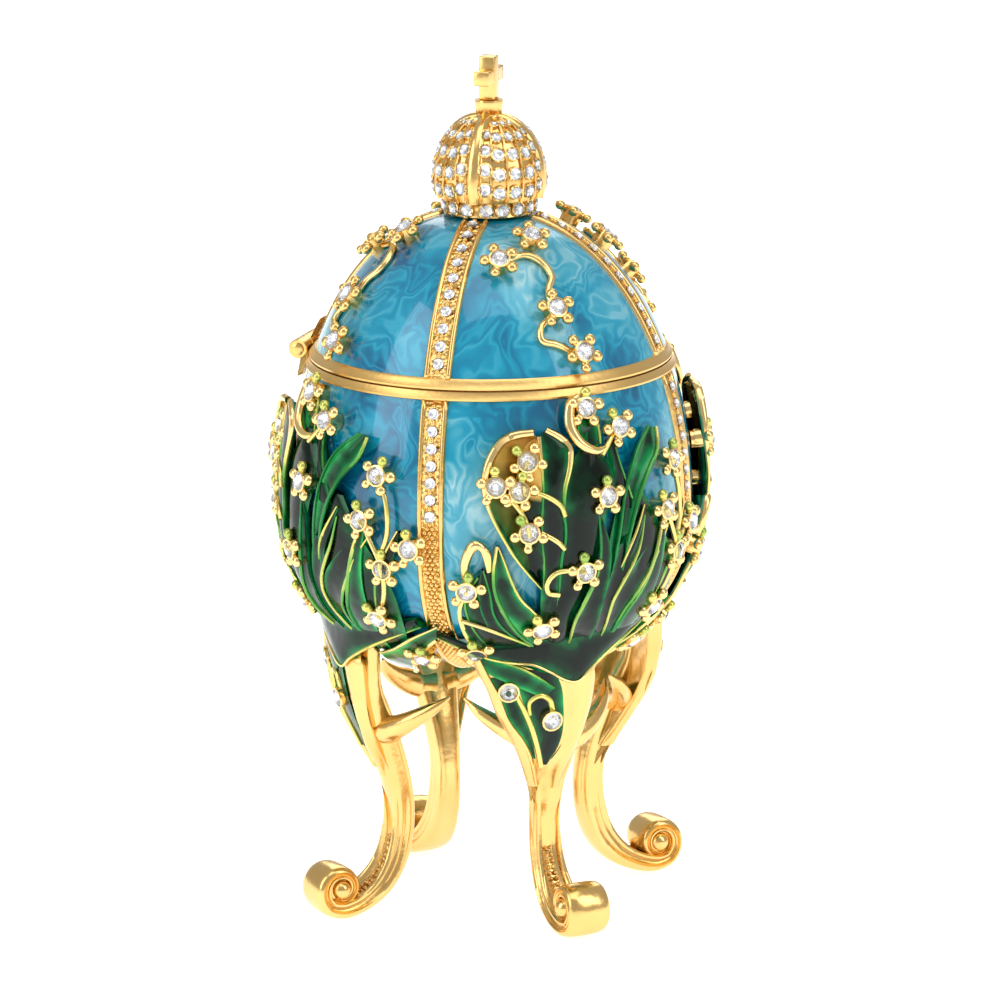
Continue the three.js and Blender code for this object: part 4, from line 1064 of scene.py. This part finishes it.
def leg_path():
    """The stations, and then the turns of the foot's scroll"""
    rows = [Vector((r, h, w, t)) for r, h, w, t in LEG_STATIONS]
    for angle in range(-65, 330, 22):
        share = (angle + 65) / 395
        reach = 3.3 - 1.7 * share
        thick = 2.5 - 1.2 * share
        out, up = reach * math.cos(math.radians(angle)), reach * math.sin(math.radians(angle))
        rows.append(Vector((VOLUTE_CENTRE.x + out, VOLUTE_CENTRE.y + up, 7.0 - 1.2 * share, thick)))
    return rows


LEG_PATH = leg_path()

# Half of the grooved section of the leg's lower part, from the middle of its back to that of its front
LEG_HALF = [(0, -1.0), (0.35, -0.99), (0.65, -0.92), (0.86, -0.75), (0.97, -0.5), (1.0, -0.24),
            (0.92, -0.12), (0.88, -0.02), (0.94, 0.08), (1.0, 0.2), (0.98, 0.32), (0.88, 0.41),
            (0.87, 0.5), (0.95, 0.6), (0.96, 0.8), (0.88, 0.96), (0.74, 1.0), (0.62, 0.88),
            (0.54, 0.58), (0.3, 0.48), (0, 0.46)]
LEG_SECTION = LEG_HALF + [(-side, out) for side, out in reversed(LEG_HALF[1:-1])]
SQUARENESS = 0.62
GROOVES_START = 0.14
GROOVES_BLEND = 0.07


def leg_at(v, side, out):
    """A point of the leg: v along its path, side and out as shares of its half width and thickness"""
    row = eased(LEG_PATH, v)
    ahead = eased(LEG_PATH, min(1, v + 0.004))
    behind = eased(LEG_PATH, max(0, v - 0.004))
    along = Vector((ahead.x - behind.x, ahead.y - behind.y)).normalized()
    reach = out * row.w / 2
    return row.x - along.y * reach, max(0.0, row.y + along.x * reach), side * row.z / 2


def leg_shape(bm, middle):
    def place(u, v):
        side, out = LEG_SECTION[round(u * len(LEG_SECTION)) % len(LEG_SECTION)]
        angle = math.atan2(out, side)
        plain_side = math.copysign(abs(math.cos(angle)) ** SQUARENESS, math.cos(angle))
        plain_out = math.copysign(abs(math.sin(angle)) ** SQUARENESS, math.sin(angle))
        grooved = min(1.0, max(0.0, (v - GROOVES_START) / GROOVES_BLEND))
        side, out = plain_side + (side - plain_side) * grooved, plain_out + (out - plain_out) * grooved
        radius, height, across = leg_at(v, side, out)
        return around(middle, radius, height, across)

    swept(bm, len(LEG_SECTION), 170, place)


# A thorn beside the leg, through radius, height and sideways place, and the reach of the beading
THORN = [(19.2, 29.0, 0.5), (19.6, 29.4, 3.5), (18.4, 31.2, 7.2), (15.9, 33.6, 10.4), (13.6, 35.6, 12.0)]
BEADS_START = 0.215
BEADS_END = 0.375
BEADS_STEP = 0.009


def leg(corner, middle):
    bm = bmesh.new()
    layers = [bm.verts.layers.float.new(name) for name in ("edge", "gilt", "green")]
    leg_shape(bm, middle)
    outward = facing(middle, Vector((1, 0)), around(middle, VOLUTE_CENTRE.x, VOLUTE_CENTRE.y))
    sideways = outward @ Matrix.Rotation(math.pi / 2, 4, "Y")
    web = bmesh.new()
    spun(web, [(0, -2.5), (2.4, -2.5), (2.6, -2.3), (2.6, 2.3), (2.4, 2.5), (0, 2.5)], 32)
    stamped(bm, template("volute_web", web), sideways)
    for side in (-1, 1):
        eye = Matrix.Translation(around(middle, VOLUTE_CENTRE.x, VOLUTE_CENTRE.y, side * 2.5))
        bmesh.ops.create_icosphere(bm, subdivisions=3, radius=1.5, matrix=eye)
        thorn = [around(middle, radius, height, side * across) for radius, height, across in THORN]
        wire(bm, thorn, [2.3, 2.1, 1.6, 1.0, 0.2], 14)
    for each in (LEG_TOP, *LEG_FLANKS):
        leaf(bm, bm, layers, leg_ground(middle), **each)
    piece(f"leg_{corner}", bm, "base", [GOLD], [f"leg_and_leaves_{corner}"], sharp=50)

    beads = bmesh.new()
    v = BEADS_START
    while v < BEADS_END:
        for side in (-0.17, 0.17):
            radius, height, across = leg_at(v, side, 0.52)
            bmesh.ops.create_icosphere(beads, subdivisions=2, radius=0.42,
                                       matrix=Matrix.Translation(around(middle, radius, height, across)))
        v += BEADS_STEP
    piece(f"leg_beads_{corner}", beads, "base", [PEBBLED], sharp=80)


for corner, middle in CORNERS.items():
    spray(corner, middle)
    leg(corner, middle)

# Sprigs on the lid: degrees from the panel's middle, height and, for the flowers, spin

SPRIG = [(-23, 101.1, 35), (-1.5, 103.6, 5), (-3, 94.9, 20), (3, 88.9, 50)]
SPRIG_STEMS = [
    [(-23, 101.1), (-10, 102.2), (-1, 101.4), (1.6, 99.4), (-2.5, 97.6), (-3, 95.4)],
    [(-4, 94.4), (-9, 93), (-9.4, 91.2), (-5, 90.6), (-2, 90), (2, 89)],
]


def sprigs():
    wires = bmesh.new()
    green_layer = wires.verts.layers.float.new("green")
    heads = bmesh.new()
    places, nodes = [], []
    for corner, middle in CORNERS.items():
        for line in SPRIG_STEMS:
            points = [on_egg(middle + turn, height, 0.5) for turn, height in line]
            wire(wires, points, [0.45, 0.58, 0.5], 8, tinted(green_layer, 0.0))
        for i, (turn, height, spin) in enumerate(SPRIG, 1):
            matrix = standing(middle + turn, height, 2.3, spin)
            stamped(heads, FLOWER, matrix)
            if (corner, i) != ("back_left", 1):
                places.append((matrix, STONE_RADIUS))
                nodes.append(f"lid_stone_{corner}_{i}")
    piece("lid_sprig_stems", wires, "lid", [RIM], sharp=60)
    piece("lid_flowers", heads, "lid", [GOLD], sharp=50)
    stones("lid_stones", "lid", places, nodes)


sprigs()

# The hinge

HINGE_Y = 29.27
HINGE_HALF = 4.5
HINGE_PLACE = Matrix.Translation((0, HINGE_Y, SEAM_HEIGHT)) @ Matrix.Rotation(math.pi / 2, 4, "Y")
PIN_OUTLINE = [(0, -4.85), (0.6, -4.85), (0.95, -4.7), (0.95, -4.52), (0.64, -4.5), (0.64, 4.5),
               (0.95, 4.52), (0.95, 4.7), (0.6, 4.85), (0, 4.85)]


def knuckle(bm, start, end):
    bore, edge, outside, chamfer = 0.78, 1.35, 1.5, 0.15
    outline = [(bore, start), (edge, start), (outside, start + chamfer), (outside, end - chamfer),
               (edge, end), (bore, end)]
    ring = bmesh.new()
    spun(ring, outline, 32)
    stamped(bm, template("knuckle", ring), HINGE_PLACE)


def hinge():
    third = (2 * HINGE_HALF - 0.6) / 6
    outer_spans = [(-HINGE_HALF, -third - 0.3), (third + 0.3, HINGE_HALF)]
    for name, body, sign, spans, node in (
        ("hinge_leaf_low", "base", -1, outer_spans, "hinge_leaf_on_bowl"),
        ("hinge_leaf_high", "lid", 1, [(-third, third)], "hinge_leaf_on_lid"),
    ):
        bm = bmesh.new()
        for start, end in spans:
            knuckle(bm, start, end)

            def plate(u, v, start=start, end=end):
                height = SEAM_HEIGHT + sign * (0.5 + 3.7 * v)
                side = start + (end - start) * (u if u <= 0.5 else 1 - u) * 2
                lift = 0.75 + (1.1 if u <= 0.5 else 0) * (1 - 0.3 * v)
                radius = egg_radius(height) + lift
                return Vector((side, math.sqrt(radius**2 - side**2), height))

            swept(bm, 24, 8, plate)
        piece(name, bm, body, [GOLD], [node], sharp=40)
    pin = bmesh.new()
    ring = bmesh.new()
    spun(ring, PIN_OUTLINE, 24)
    stamped(pin, template("pin", ring), HINGE_PLACE)
    piece("hinge_rod", pin, "base", [GOLD], ["hinge_pin"], sharp=40)


hinge()

# Floor, light and camera


def floor():
    bm = bmesh.new()
    bmesh.ops.create_grid(bm, x_segments=2, y_segments=2, size=6000)
    piece("floor", bm, None, [pale_floor()], stage=True)


def lamp(name, turn, rise, away, size, power):
    data = bpy.data.lights.new(name, "AREA")
    data.shape = "RECTANGLE"
    data.size, data.size_y = size
    data.energy = power
    obj = bpy.data.objects.new(name, data)
    bpy.context.scene.collection.objects.link(obj)
    level = math.cos(math.radians(rise)) * away
    position = around(CAMERA_TURN + turn, level, math.sin(math.radians(rise)) * away + 0.06)
    obj.location = position
    obj.rotation_euler = (Vector((0, 0, 0.07)) - position).to_track_quat("-Z", "Y").to_euler()


def studio():
    world = bpy.data.worlds.new("studio")
    world.use_nodes = True
    background = world.node_tree.nodes["Background"]
    background.inputs["Color"].default_value = (1, 1, 1, 1)
    background.inputs["Strength"].default_value = 0.5
    bpy.context.scene.world = world
    lamp("left_softbox", -62, 28, 0.8, (0.35, 0.7), 2.0)
    lamp("right_softbox", 58, 35, 0.8, (0.3, 0.6), 1.5)
    lamp("top_softbox", 10, 78, 0.8, (0.6, 0.6), 1.8)
    lamp("back_softbox", 175, 35, 0.9, (0.6, 0.5), 1.8)
    bpy.context.scene.view_settings.view_transform = "Standard"


def camera():
    data = bpy.data.cameras.new("camera")
    data.lens = CAMERA_LENS
    data.sensor_width = 36
    data.shift_x = CAMERA_SHIFT
    data.clip_end = 50
    obj = bpy.data.objects.new("camera", data)
    bpy.context.scene.collection.objects.link(obj)
    rise, roll = math.radians(CAMERA_RISE), math.radians(CAMERA_ROLL)
    level, height = CAMERA_AWAY * math.cos(rise), CAMERA_AIM + CAMERA_AWAY * math.sin(rise)
    eye = around(CAMERA_TURN, level, height) * MM
    ahead = (Vector((0, 0, CAMERA_AIM * MM)) - eye).normalized()
    right = ahead.cross(Vector((0, 0, 1))).normalized()
    up = right.cross(ahead)
    tilted_up = up * math.cos(roll) + right * math.sin(roll)
    tilted_right = right * math.cos(roll) - up * math.sin(roll)
    turned = Matrix((tilted_right, tilted_up, -ahead)).transposed().to_4x4()
    obj.matrix_world = Matrix.Translation(eye) @ turned
    bpy.context.scene.camera = obj


floor()
studio()
camera()
